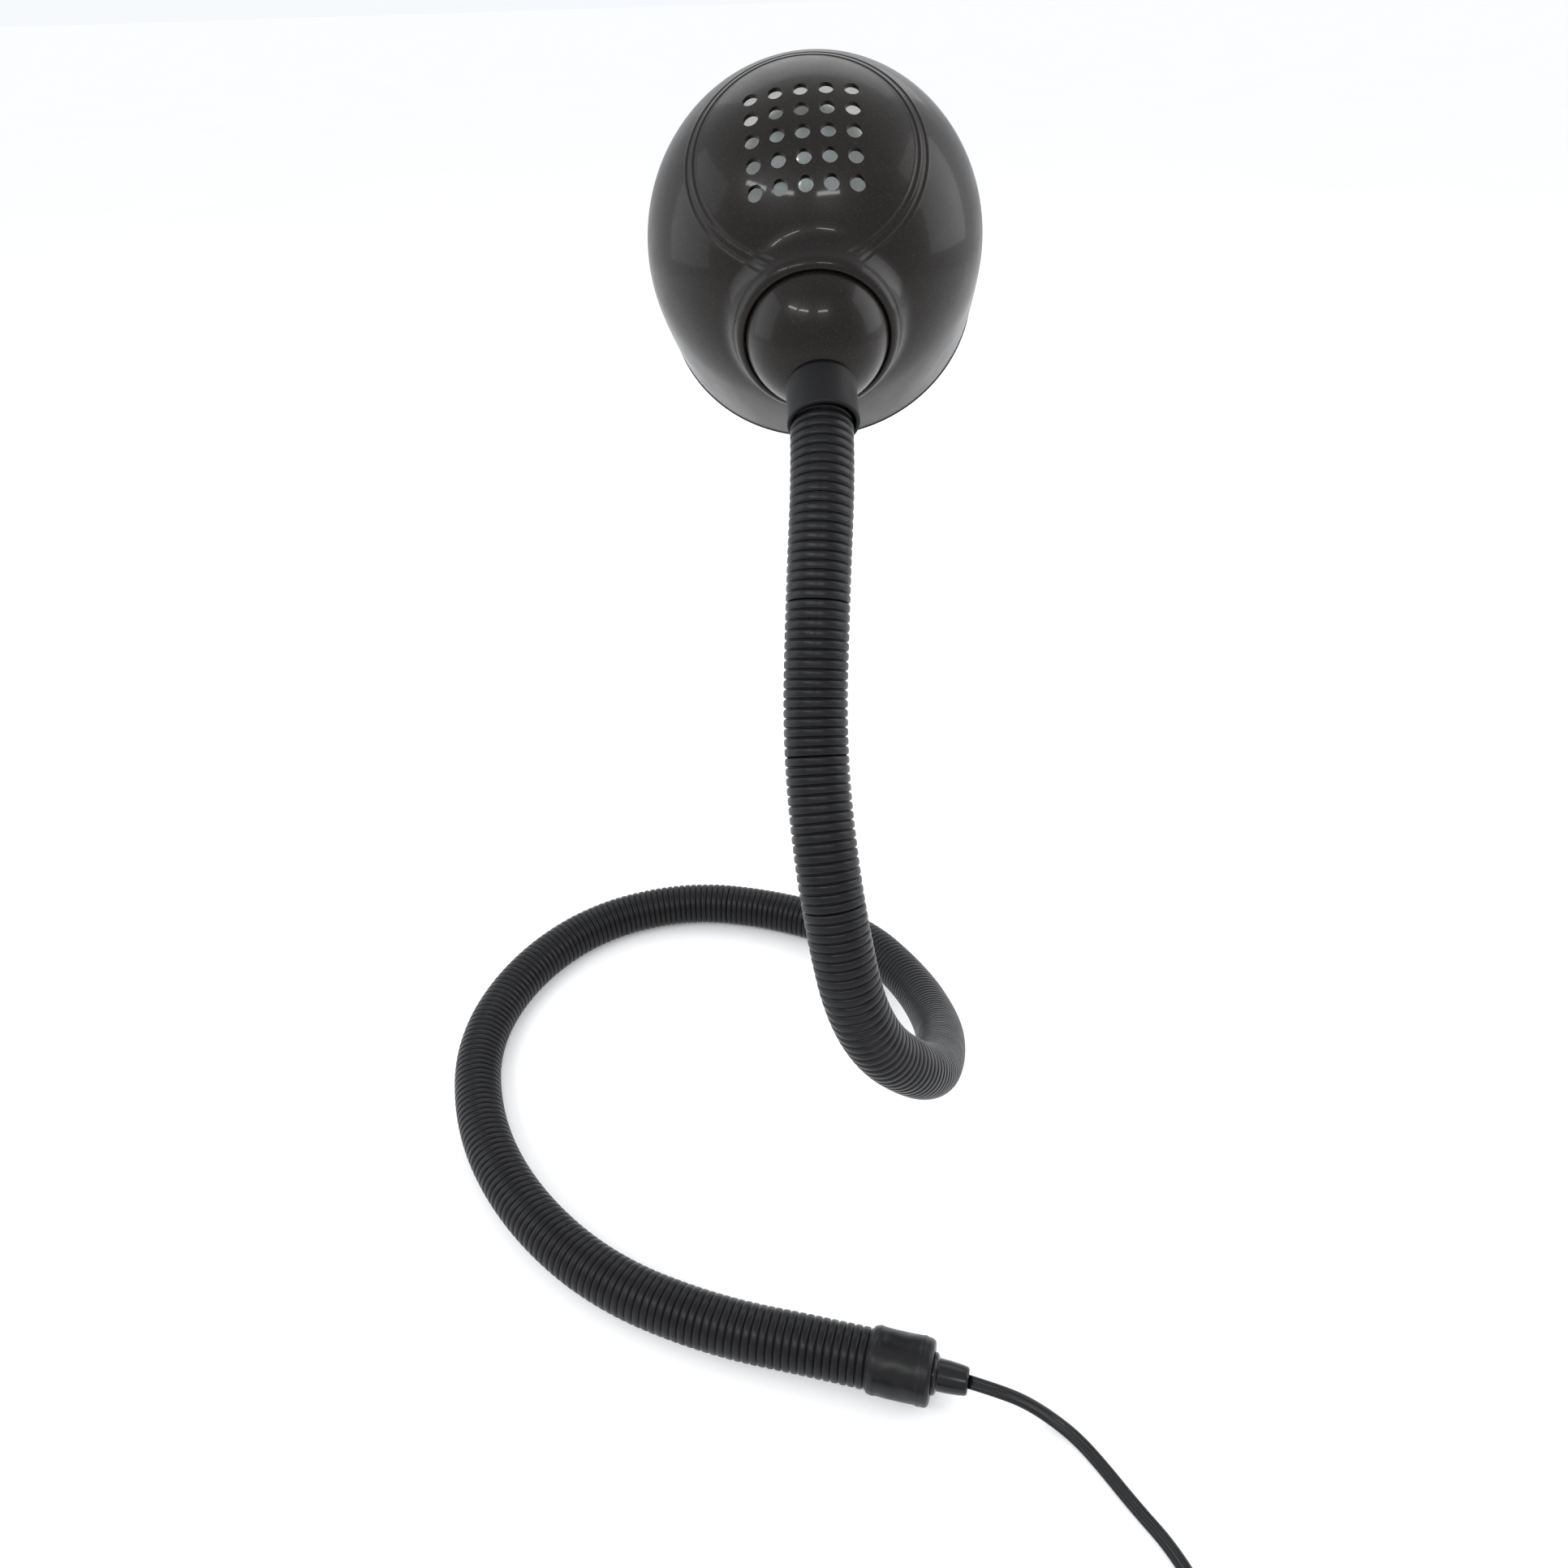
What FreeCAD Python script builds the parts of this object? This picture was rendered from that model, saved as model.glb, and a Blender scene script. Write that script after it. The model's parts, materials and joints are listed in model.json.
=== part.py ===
import FreeCAD, Part
import math
import os
from FreeCAD import Matrix, Placement, Vector

# Flexible gooseneck table lamp.  Millimetres, +Z up.  The origin is on the table top, under the
# centre of the lamp.  +X runs to the side where the supply cord leaves, +Y runs to the side that
# the head hangs over.  One ribbed tube lies on the table as an open loop, which is the base, then
# leaves the table and climbs back over the loop as the neck.

# ---------------------------------------------------------------- flexible tube
TUBE_R = 12.5            # outside of the ribbed PVC sleeve
SLEEVE_BORE_R = 7.2      # inside of the sleeve
CORE_R = 7.0             # outside of the wound steel hose
CORE_BORE_R = 4.5        # inside of the steel hose
LEAD_R = 2.7             # twin lead that runs through the hose
JOINT_GAP = 0.3          # between the rounded end of one length and the cup of the next

# Corners of the tube's centre line, from its closed end to the centre of the ball.  The line is
# straight runs joined by arcs, so it passes just inside each corner.
TUBE_CORNERS = [
    Vector(103, -177, 14.9),
    Vector(61, -165, 14.0),
    Vector(6, -151, 12.5),
    Vector(-47, -127, 12.5),
    Vector(-91, -87, 12.5),
    Vector(-121, -38, 12.5),
    Vector(-134, 21, 12.5),
    Vector(-117, 78, 12.5),
    Vector(-77, 122, 12.5),
    Vector(-19, 140, 12.5),
    Vector(38, 129, 12.5),
    Vector(91, 102, 14),
    Vector(119, 50, 22),
    Vector(127, -3, 42),
    Vector(120, -52, 74),
    Vector(106, -97, 111),
    Vector(75, -117, 160),
    Vector(64, -100, 215),
    Vector(59, -65, 262),
    Vector(62, -34, 312),
    Vector(67, 1, 359),
    Vector(66, 49, 391),
]
# Runs whose middle holds a bending point.  Run 3 joins corner 3 to corner 4.
JOINT_RUNS = [3, 7, 11, 12, 13, 14, 15, 16, 17, 18, 19]
LENGTH_NAMES = ["base_end", "base_side", "base_back"] + [f"neck_{i}" for i in range(1, 10)]

ARC_SHARE = 0.45         # share of the shorter run that an arc takes up at a corner

# ---------------------------------------------------------------- closed end of the tube
END_CAP_R = 14.3
END_CAP_LENGTH = 27.0
END_CAP_WALL = 3.0
GLAND_R = 6.6
GLAND_FLANGE_R = 8.6
GLAND_FLANGE = 2.6
GLAND_LENGTH = 15.4

# ---------------------------------------------------------------- supply cord
CORD_WIDTH = 5.8
CORD_THICK = 3.0
CORD_ROUTE = [
    Vector(117.8, -181.2, 15.2),
    Vector(130, -184.8, 13.8),
    Vector(141.5, -187.5, 9.5),
    Vector(152, -192, 4.5),
    Vector(162, -199.5, 1.6),
    Vector(170, -211, 1.5),
    Vector(179, -226, 1.5),
    Vector(190, -242, 1.5),
    Vector(197, -261, 1.5),
    Vector(197, -281, 1.5),
    Vector(190, -300, 1.5),
    Vector(177, -316, 1.5),
    Vector(159, -328, 3.5),
    Vector(138, -333, 8.0),
    Vector(112, -334, 8.0),
    Vector(84, -336, 3.5),
    Vector(60, -335.5, 1.5),
]
SWITCH_RUN = 13          # the switch sits on the run that starts at this point of the route
COIL_TURNS_WIDE = 3
COIL_LAYERS = 3
COIL_PITCH = 6.2
COIL_LAYER_PITCH = 3.2
COIL_INNER_R = 23.0      # inside of the innermost turn

# ---------------------------------------------------------------- switch on the cord
SWITCH_LENGTH = 58.0
SWITCH_WIDTH = 25.0
SWITCH_HEIGHT = 17.0
SWITCH_SPLIT = 8.0
SWITCH_WALL = 2.0
SWITCH_CORNER_R = 7.0
ROCKER_LENGTH = 18.0
ROCKER_WIDTH = 11.0
ROCKER_TOP = 2.6         # height of the rocker's ridge above its pivot
ROCKER_FOOT = 2.5        # depth of the rocker below its pivot
ROCKER_PIVOT_DEPTH = 3.0
WINDOW_GAP = 0.5         # round the rocker in the cover
ROCKER_TILT = 8.0        # degrees either side of level

# ---------------------------------------------------------------- plug
PLUG_LENGTH = 36.0
PLUG_WIDTH = 26.0
PLUG_THICK = 13.5
PIN_R = 2.0
PIN_LENGTH = 19.0
PIN_SPACING = 19.0
PLUG_TAIL_X = 8.0        # how far the plug's tail lies past the middle of the coil
PLUG_TAIL_HALF = 5.0     # half the width of the plug's tail
PLUG_SHOULDER = 0.55     # share of the plug's length that is full width
PLUG_FILLET = 2.5

# ---------------------------------------------------------------- head
BALL_R = 29.3
BALL_WALL = 2.0
BALL_EDGE = 18.0         # distance past the ball's centre at which the ball is cut open
HUB_R = 10.0
HUB_INNER = -20.0        # inner face of the ball's hub, along the neck axis
COLLAR_R = 14.2
COLLAR_START = -46.0
COLLAR_SEAT = -30.5      # where the tube stops inside the collar
COLLAR_TOP = -20.0
NIPPLE_R = 5.0
NIPPLE_BORE_R = 3.5
NIPPLE_END = -8.0
NIPPLE_RUNNING = 0.06
WASHER_R = 9.0
WASHER_THICK = 1.0
NUT_R = 8.0
NUT_THICK = 4.0
FACE_GAP = 0.1

HOLDER_R = 19.5
HOLDER_WALL = 2.0
HOLDER_START = -14.5
HOLDER_SHOULDER = 4.0
HOLDER_SPLIT = 10.0
HOLDER_RIM = 40.0
THREAD_R = 13.2          # outside of the lamp cap
SHELL_WALL = 0.5
CAP_TIP = 5.6
CAP_START = 11.5
CAP_END = 33.0
BULB_R = 29.5
BULB_CENTRE = 81.0
GLASS_WALL = 1.0

SHADE_R = 73.0
SHADE_WALL = 2.0
SHADE_SKIRT = 38.0       # length of the nearly straight skirt below the round crown
SHADE_MOUTH_R = 70.5
SHADE_AXIS_UP = 43.0     # degrees by which the crown's axis looks up, towards -Y
SHADE_TURN = -5.0        # degrees by which the shade is turned about the neck axis
SHADE_CENTRE = Vector(66, 116, 410.5)
LIP_REACH = 7.2
LIP_ROOT = -6.2
LIP_R = 33.2
RETAINER_START = -11.0
RETAINER_END = -6.4
RETAINER_R = 31.0        # outside of the ring at its end nearer the ball's middle
RETAINER_FOOT_R = 35.5   # outside of the ring at its other end
SOCKET_CUT_R = 37.0      # the socket is made apart from the shell, inside this radius
VENT_R = 3.0
VENT_PITCH = 9.8
VENTS_ACROSS = 5


def unit(v):
    return v * (1.0 / v.Length)


def middle(a, b):
    return (a + b) * 0.5


def placed(origin, z_dir, x_hint=Vector(1, 0, 0)):
    """Placement whose local Z is z_dir and whose local X is as near x_hint as it can be."""
    z = unit(z_dir)
    y = unit(z.cross(x_hint))
    x = y.cross(z)
    return Placement(Matrix(x.x, y.x, z.x, origin.x,
                            x.y, y.y, z.y, origin.y,
                            x.z, y.z, z.z, origin.z,
                            0, 0, 0, 1))


def moved(shape, placement):
    copy = shape.copy()
    copy.transformShape(placement.toMatrix())
    return copy


def save(name, shape):
    shape.exportStep(f"parts/{name}.step")


# ---------------------------------------------------------------- routes
def corner_arc(before, corner, after):
    """Ends, middle and radius of the arc that rounds one corner of a route."""
    back = before - corner
    on = after - corner
    half_turn = (math.pi - back.getAngle(on)) / 2
    reach = ARC_SHARE * min(back.Length, on.Length)
    radius = reach / math.tan(half_turn)
    start = corner + unit(back) * reach
    end = corner + unit(on) * reach
    towards = unit(middle(start, end) - corner)
    to_centre = radius / math.cos(half_turn)
    mid = corner + towards * (to_centre - radius)
    return start, mid, end, radius


def route_edges(corners, first, last, start, end):
    """Straight runs and tangent arcs from start to end, round corners first to last."""
    edges = []
    here = start
    for i in range(first, last + 1):
        arc_start, mid, arc_end, _ = corner_arc(corners[i - 1], corners[i], corners[i + 1])
        edges.append(Part.LineSegment(here, arc_start).toShape())
        edges.append(Part.Arc(arc_start, mid, arc_end).toShape())
        here = arc_end
    edges.append(Part.LineSegment(here, end).toShape())
    return edges


def route_radii(corners):
    return [corner_arc(*corners[i - 1:i + 2])[3] for i in range(1, len(corners) - 1)]


# ---------------------------------------------------------------- the tube's lengths
def ring_face(centre, normal, outer, inner):
    rings = [Part.Wire(Part.makeCircle(outer, centre, normal))]
    if inner > 0:
        rings.append(Part.Wire(Part.makeCircle(inner, centre, normal)))
    face = Part.Face(rings[0])
    if inner > 0:
        face = face.cut(Part.Face(rings[1])).Faces[0]
    return face


def rounded_end(centre, direction, outer, inner):
    """The part of a pipe past its end that lies inside a ball of the tube's radius."""
    high = math.sqrt(TUBE_R ** 2 - inner ** 2)
    low = math.sqrt(max(TUBE_R ** 2 - outer ** 2, 0))
    middle_angle = (math.atan2(outer, low) + math.atan2(inner, high)) / 2
    crown = Vector(TUBE_R * math.sin(middle_angle), 0, TUBE_R * math.cos(middle_angle))
    edges = [Part.LineSegment(Vector(inner, 0, 0), Vector(outer, 0, 0)).toShape()]
    if low > 0:
        edges.append(Part.LineSegment(Vector(outer, 0, 0), Vector(outer, 0, low)).toShape())
    edges.append(Part.Arc(Vector(outer, 0, low), crown, Vector(inner, 0, high)).toShape())
    edges.append(Part.LineSegment(Vector(inner, 0, high), Vector(inner, 0, 0)).toShape())
    turned = Part.Face(Part.Wire(edges)).revolve(Vector(0, 0, 0), Vector(0, 0, 1), 360)
    return moved(Part.Solid(turned), placed(centre, direction))


def tube_joint(i):
    """Centre of the bending point in the middle of run JOINT_RUNS[i]."""
    run = JOINT_RUNS[i]
    return middle(TUBE_CORNERS[run], TUBE_CORNERS[run + 1])


def tube_direction(i):
    """Direction of the tube at bending point i."""
    run = JOINT_RUNS[i]
    return unit(TUBE_CORNERS[run + 1] - TUBE_CORNERS[run])


END_DIRECTION = unit(TUBE_CORNERS[0] - TUBE_CORNERS[1])
TUBE_START = TUBE_CORNERS[0] - END_DIRECTION * END_CAP_WALL
BALL_CENTRE = TUBE_CORNERS[-1]
NECK_AXIS = unit(TUBE_CORNERS[-1] - TUBE_CORNERS[-2])
TUBE_END = BALL_CENTRE + NECK_AXIS * COLLAR_SEAT


def tube_length(i, outer, inner):
    """Length i of the tube, or of what runs inside it: cupped where it starts, round where it ends."""
    starts = [TUBE_START] + [tube_joint(k) for k in range(len(JOINT_RUNS))]
    ends = [tube_joint(k) for k in range(len(JOINT_RUNS))] + [TUBE_END]
    runs = [0] + JOINT_RUNS + [len(TUBE_CORNERS) - 2]
    edges = route_edges(TUBE_CORNERS, runs[i] + 1, runs[i + 1], starts[i], ends[i])
    along = unit(TUBE_CORNERS[runs[i] + 1] - TUBE_CORNERS[runs[i]])
    shape = Part.Wire(edges).makePipe(ring_face(starts[i], along, outer, inner))
    if i > 0:
        shape = shape.cut(Part.makeSphere(TUBE_R + JOINT_GAP, starts[i]))
    if i < len(JOINT_RUNS):
        shape = shape.fuse(rounded_end(ends[i], tube_direction(i), outer, inner))
    return shape.Solids[0]


# ---------------------------------------------------------------- round pieces
def turned(profile, placement):
    """Solid of revolution about local Z, from straight-sided (radius, height) points."""
    points = [Vector(r, 0, h) for r, h in profile]
    outline = Part.Wire(Part.makePolygon(points + points[:1]))
    solid = Part.Face(outline).revolve(Vector(0, 0, 0), Vector(0, 0, 1), 360)
    return moved(Part.Solid(solid), placement)


def line(a, b):
    return Part.LineSegment(Vector(a[0], 0, a[1]), Vector(b[0], 0, b[1])).toShape()


def arc(a, m, b):
    return Part.Arc(Vector(a[0], 0, a[1]), Vector(m[0], 0, m[1]), Vector(b[0], 0, b[1])).toShape()


def turned_edges(edges, placement):
    face = Part.Face(Part.Wire(edges))
    return moved(Part.Solid(face.revolve(Vector(0, 0, 0), Vector(0, 0, 1), 360)), placement)


def end_cap():
    where = placed(TUBE_CORNERS[0], END_DIRECTION)
    outside = [(0, 0), (END_CAP_R - 1, 0), (END_CAP_R, -1), (END_CAP_R, 1 - END_CAP_LENGTH),
               (END_CAP_R - 0.6, -END_CAP_LENGTH), (TUBE_R, -END_CAP_LENGTH),
               (TUBE_R, -END_CAP_WALL), (0, -END_CAP_WALL)]
    lead_hole = moved(Part.makeCylinder(LEAD_R + 0.3, 3 * END_CAP_WALL, Vector(0, 0, -2 * END_CAP_WALL)), where)
    return turned(outside, where).cut(lead_hole)


def cord_gland():
    where = placed(TUBE_CORNERS[0], END_DIRECTION)
    outside = [(0, 0), (GLAND_FLANGE_R, 0), (GLAND_FLANGE_R, 1.0), (GLAND_R, GLAND_FLANGE),
               (GLAND_R, GLAND_LENGTH - 0.5), (GLAND_R - 0.5, GLAND_LENGTH), (0, GLAND_LENGTH)]
    slot = moved(flat_section_bar(GLAND_LENGTH + 2), placed(TUBE_CORNERS[0] - END_DIRECTION, END_DIRECTION))
    return turned(outside, where).cut(slot)


# ---------------------------------------------------------------- supply cord
def flat_section(centre, along):
    """Outline of the flat twin cord, its wide side level, square to a route at its first point."""
    across = unit(along.cross(Vector(0, 0, 1)))
    up = unit(across.cross(along))
    half = (CORD_WIDTH - CORD_THICK) / 2
    r = CORD_THICK / 2
    right = centre + across * half
    left = centre - across * half
    return Part.Wire([
        Part.LineSegment(left + up * r, right + up * r).toShape(),
        Part.Arc(right + up * r, right + across * r, right - up * r).toShape(),
        Part.LineSegment(right - up * r, left - up * r).toShape(),
        Part.Arc(left - up * r, left - across * r, left + up * r).toShape(),
    ])


def flat_section_bar(length):
    outline = flat_section(Vector(0, 0, 0), Vector(0, 1, 0))
    bar = Part.Face(outline).extrude(Vector(0, length, 0))
    bar.rotate(Vector(0, 0, 0), Vector(1, 0, 0), 90)
    return bar


def supply_cord():
    edges = route_edges(CORD_ROUTE, 1, len(CORD_ROUTE) - 2, CORD_ROUTE[0], CORD_ROUTE[-1])
    path = Part.Wire(edges)
    sweep = Part.BRepOffsetAPI.MakePipeShell(path)
    sweep.setBiNormalMode(Vector(0, 0, 1))
    sweep.add(flat_section(CORD_ROUTE[0], CORD_ROUTE[1] - CORD_ROUTE[0]))
    sweep.build()
    sweep.makeSolid()
    cord = Part.Solid(sweep.shape())
    section = (CORD_WIDTH - CORD_THICK) * CORD_THICK + math.pi * (CORD_THICK / 2) ** 2
    print("cord radii", [round(r, 1) for r in route_radii(CORD_ROUTE)])
    print("cord length", round(path.Length, 1), "volume share", round(cord.Volume / (section * path.Length), 4))
    return cord


COIL_WIDTH = COIL_TURNS_WIDE * COIL_PITCH
COIL_HEIGHT = COIL_LAYERS * COIL_LAYER_PITCH
COIL_MID_OUTER_R = COIL_INNER_R + COIL_WIDTH - COIL_PITCH / 2
COIL_MIDDLE_R = COIL_INNER_R + COIL_WIDTH / 2
COIL_CENTRE = CORD_ROUTE[-1] + Vector(0, COIL_MID_OUTER_R, -CORD_THICK / 2)


def cord_coil():
    outer = Part.makeCylinder(COIL_INNER_R + COIL_WIDTH, COIL_HEIGHT, COIL_CENTRE)
    return outer.cut(Part.makeCylinder(COIL_INNER_R, COIL_HEIGHT, COIL_CENTRE))


# ---------------------------------------------------------------- switch on the cord
SWITCH_CENTRE = middle(CORD_ROUTE[SWITCH_RUN], CORD_ROUTE[SWITCH_RUN + 1])
ROCKER_PIVOT = Vector(SWITCH_CENTRE.x, SWITCH_CENTRE.y, SWITCH_HEIGHT - ROCKER_PIVOT_DEPTH)


def block(centre_x, centre_y, length, width, low, high):
    corner = Vector(centre_x - length / 2, centre_y - width / 2, low)
    return Part.makeBox(length, width, high - low, corner)


def switch_hollow(margin):
    return block(SWITCH_CENTRE.x, SWITCH_CENTRE.y, SWITCH_LENGTH - 2 * margin, SWITCH_WIDTH - 2 * margin,
                 margin, SWITCH_HEIGHT - margin)


def switch_half(low, high):
    body = block(SWITCH_CENTRE.x, SWITCH_CENTRE.y, SWITCH_LENGTH, SWITCH_WIDTH, 0, SWITCH_HEIGHT)
    upright = [e for e in body.Edges if abs(e.tangentAt(e.FirstParameter).z) > 0.9]
    body = body.makeFillet(SWITCH_CORNER_R, upright)
    keep = block(SWITCH_CENTRE.x, SWITCH_CENTRE.y, 2 * SWITCH_LENGTH, 2 * SWITCH_WIDTH, low, high)
    return body.cut(switch_hollow(SWITCH_WALL)).common(keep)


def switch_cover():
    window = block(SWITCH_CENTRE.x, SWITCH_CENTRE.y, ROCKER_LENGTH + 2 * WINDOW_GAP, ROCKER_WIDTH + 2 * WINDOW_GAP,
                   SWITCH_SPLIT, SWITCH_HEIGHT + 5)
    return switch_half(SWITCH_SPLIT, SWITCH_HEIGHT).cut(window)


def switch_rocker():
    """Rocker with two sloping faces, pressed down on one side."""
    half = ROCKER_LENGTH / 2
    rise = half * math.tan(math.radians(ROCKER_TILT))
    side = [Vector(-half, 0, -ROCKER_FOOT), Vector(half, 0, -ROCKER_FOOT), Vector(half, 0, ROCKER_TOP + rise),
            Vector(0, 0, ROCKER_TOP), Vector(-half, 0, ROCKER_TOP + rise)]
    face = Part.Face(Part.Wire(Part.makePolygon(side + side[:1])))
    rocker = face.extrude(Vector(0, ROCKER_WIDTH, 0))
    rocker.translate(Vector(0, -ROCKER_WIDTH / 2, 0))
    rocker.rotate(Vector(0, 0, 0), Vector(0, 1, 0), ROCKER_TILT)
    rocker.translate(ROCKER_PIVOT)
    return rocker


# ---------------------------------------------------------------- plug, lying on the coil
PLUG_FACE = Vector(COIL_CENTRE.x + PLUG_TAIL_X - PLUG_LENGTH, COIL_CENTRE.y - COIL_MIDDLE_R, COIL_HEIGHT)


def plug_body():
    """Flat moulded plug that tapers to its cord; its pins point along -X."""
    half = PLUG_WIDTH / 2
    shoulder = PLUG_LENGTH * PLUG_SHOULDER
    tail = PLUG_TAIL_HALF
    outline = [Vector(0, -half, 0), Vector(0, half, 0), Vector(shoulder, half, 0),
               Vector(PLUG_LENGTH, tail, 0), Vector(PLUG_LENGTH, -tail, 0), Vector(shoulder, -half, 0)]
    body = Part.Face(Part.Wire(Part.makePolygon(outline + outline[:1]))).extrude(Vector(0, 0, PLUG_THICK))
    body = body.makeFillet(PLUG_FILLET, [e for e in body.Edges if abs(e.tangentAt(e.FirstParameter).z) < 0.1])
    body.translate(PLUG_FACE)
    return body


def plug_pins():
    pins = []
    for side in (-1, 1):
        start = PLUG_FACE + Vector(0, side * PIN_SPACING / 2, PLUG_THICK / 2)
        pins.append(Part.makeCylinder(PIN_R, PIN_LENGTH, start, Vector(-1, 0, 0)))
    return Part.makeCompound(pins)


# ---------------------------------------------------------------- what the neck carries
NECK = placed(BALL_CENTRE, NECK_AXIS)


def neck_collar():
    """Collar that the last length of the tube is seated in; the tube is still curved as it enters."""
    outside = [(NIPPLE_R, COLLAR_SEAT + 0.3), (TUBE_R - 1, COLLAR_SEAT + 0.3), (TUBE_R - 1, COLLAR_START),
               (COLLAR_R - 0.4, COLLAR_START), (COLLAR_R, COLLAR_START + 0.6), (COLLAR_R, COLLAR_TOP),
               (NIPPLE_R, COLLAR_TOP)]
    collar = turned(outside, NECK).cut(Part.makeSphere(BALL_R + JOINT_GAP, BALL_CENTRE))
    return collar.cut(tube_length(len(JOINT_RUNS), TUBE_R, 0)).Solids[0]


def pipe_along_neck(outer, inner, start, end):
    return turned([(inner, start), (outer, start), (outer, end), (inner, end)], NECK)


def lock_nut():
    corners = [Vector(NUT_R * math.cos(math.radians(60 * k)), NUT_R * math.sin(math.radians(60 * k)), 0)
               for k in range(6)]
    hexagon = Part.Face(Part.Wire(Part.makePolygon(corners + corners[:1])))
    nut = hexagon.extrude(Vector(0, 0, NUT_THICK)).cut(Part.makeCylinder(NIPPLE_R, NUT_THICK))
    nut.translate(Vector(0, 0, HUB_INNER + FACE_GAP + WASHER_THICK))
    return moved(nut, NECK)


def swivel_ball():
    """Hollow ball, open towards the lamp holder, with a hub that turns on the nipple."""
    shell = Part.makeSphere(BALL_R).cut(Part.makeSphere(BALL_R - BALL_WALL))
    hub = Part.makeCylinder(HUB_R, BALL_R, Vector(0, 0, HUB_INNER), Vector(0, 0, -1))
    ball = shell.fuse(hub.common(Part.makeSphere(BALL_R)))
    ball = ball.cut(Part.makeCylinder(BALL_R + 1, BALL_R, Vector(0, 0, BALL_EDGE)))
    ball = ball.cut(Part.makeCylinder(NIPPLE_R + NIPPLE_RUNNING, 2 * BALL_R, Vector(0, 0, -BALL_R - 5)).common(
        Part.makeBox(40, 40, BALL_R, Vector(-20, -20, -BALL_R - 5))))
    return moved(ball, NECK)


def holder_cap():
    """Tapered lower half of the lamp holder, screwed on the nipple."""
    wall = HOLDER_WALL
    outside = [(NIPPLE_R, HOLDER_START), (12, HOLDER_START), (HOLDER_R, HOLDER_SHOULDER),
               (HOLDER_R, HOLDER_SPLIT), (HOLDER_R - wall, HOLDER_SPLIT), (HOLDER_R - wall, HOLDER_SHOULDER + 1),
               (12 - wall, HOLDER_START + 3), (NIPPLE_R, HOLDER_START + 3)]
    return turned(outside, NECK)


def holder_skirt():
    return pipe_along_neck(HOLDER_R, HOLDER_R - HOLDER_WALL, HOLDER_SPLIT, HOLDER_RIM)


def holder_insert():
    """Insulating disc with a raised ring that the screw shell stands in."""
    outside = [(2.2, 1.0), (HOLDER_R - HOLDER_WALL - 0.3, 5.0), (HOLDER_R - HOLDER_WALL - 0.3, 9.5),
               (THREAD_R + 1.2, 9.5), (THREAD_R + 1.2, 4.5), (2.2, 4.5)]
    return turned(outside, NECK)


def screw_shell():
    inner = THREAD_R + 0.3
    return pipe_along_neck(inner + SHELL_WALL, inner, 4.6, HOLDER_RIM - 8)


def holder_contact():
    return turned([(0, 1.2), (2.0, 1.2), (2.0, 4.9), (5.0, 4.9), (5.0, CAP_TIP), (0, CAP_TIP)], NECK)


def bulb_cap():
    outside = [(0, CAP_TIP), (4.5, CAP_TIP), (5.0, CAP_TIP + 1.5), (THREAD_R, CAP_START),
               (THREAD_R, CAP_END), (0, CAP_END)]
    return turned(outside, NECK)


def bulb_glass():
    """Round glass bulb that narrows to a short neck at its cap."""
    neck_r = 14.5
    neck_top = 44.0
    join = math.radians(125)
    join_r = BULB_R * math.sin(join)
    join_h = BULB_CENTRE + BULB_R * math.cos(join)
    side = (BULB_R * math.sin(join / 2), BULB_CENTRE + BULB_R * math.cos(join / 2))
    waist = ((neck_r + join_r) / 2 - 0.6, (neck_top + join_h) / 2)
    edges = [
        line((0, CAP_END), (neck_r, CAP_END)),
        line((neck_r, CAP_END), (neck_r, neck_top)),
        arc((neck_r, neck_top), waist, (join_r, join_h)),
        arc((join_r, join_h), side, (0, BULB_CENTRE + BULB_R)),
        line((0, BULB_CENTRE + BULB_R), (0, CAP_END)),
    ]
    glass = turned_edges(edges, NECK)
    hollow = Part.makeSphere(BULB_R - GLASS_WALL, BALL_CENTRE + NECK_AXIS * BULB_CENTRE)
    stem = pipe_along_neck(neck_r - GLASS_WALL, 0, CAP_END + 1, BULB_CENTRE)
    return glass.cut(hollow.fuse(stem))


# ---------------------------------------------------------------- shade
TURN = Placement(Vector(0, 0, 0), FreeCAD.Rotation(NECK_AXIS, SHADE_TURN), BALL_CENTRE)
SHADE_CROWN_LEVEL = Vector(0, -math.cos(math.radians(SHADE_AXIS_UP)), math.sin(math.radians(SHADE_AXIS_UP)))
CROWN_AXIS = TURN.Rotation.multVec(SHADE_CROWN_LEVEL)
SHADE_MIDDLE = TURN.multVec(SHADE_CENTRE)
SHADE_SIDE = TURN.Rotation.multVec(Vector(1, 0, 0))
SHADE = placed(SHADE_MIDDLE, CROWN_AXIS, SHADE_SIDE)
SOCKET_AXIS = unit(BALL_CENTRE - SHADE_MIDDLE)
SOCKET = placed(BALL_CENTRE, SOCKET_AXIS, SHADE_SIDE)
SOCKET_R = BALL_R + JOINT_GAP


def crown_solid(radius, mouth_r, skirt):
    """Half ball on a nearly straight skirt."""
    diagonal = radius * math.sqrt(0.5)
    edges = [
        line((0, -skirt), (mouth_r, -skirt)),
        line((mouth_r, -skirt), (radius, 0)),
        arc((radius, 0), (diagonal, diagonal), (0, radius)),
        line((0, radius), (0, -skirt)),
    ]
    return turned_edges(edges, SHADE)


def socket_lip():
    """Ring round the ball that rolls in over it just past its widest place."""
    def on_ball(h):
        return math.sqrt(SOCKET_R ** 2 - h ** 2)
    edges = [
        line((on_ball(LIP_ROOT), LIP_ROOT), (LIP_R, LIP_ROOT)),
        line((LIP_R, LIP_ROOT), (LIP_R, 1.5)),
        arc((LIP_R, 1.5), (LIP_R - 1.1, 5.4), (on_ball(LIP_REACH) + 0.6, LIP_REACH)),
        line((on_ball(LIP_REACH) + 0.6, LIP_REACH), (on_ball(LIP_REACH), LIP_REACH)),
        arc((on_ball(LIP_REACH), LIP_REACH), (on_ball(0.5), 0.5), (on_ball(LIP_ROOT), LIP_ROOT)),
    ]
    return turned_edges(edges, SOCKET)


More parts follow.
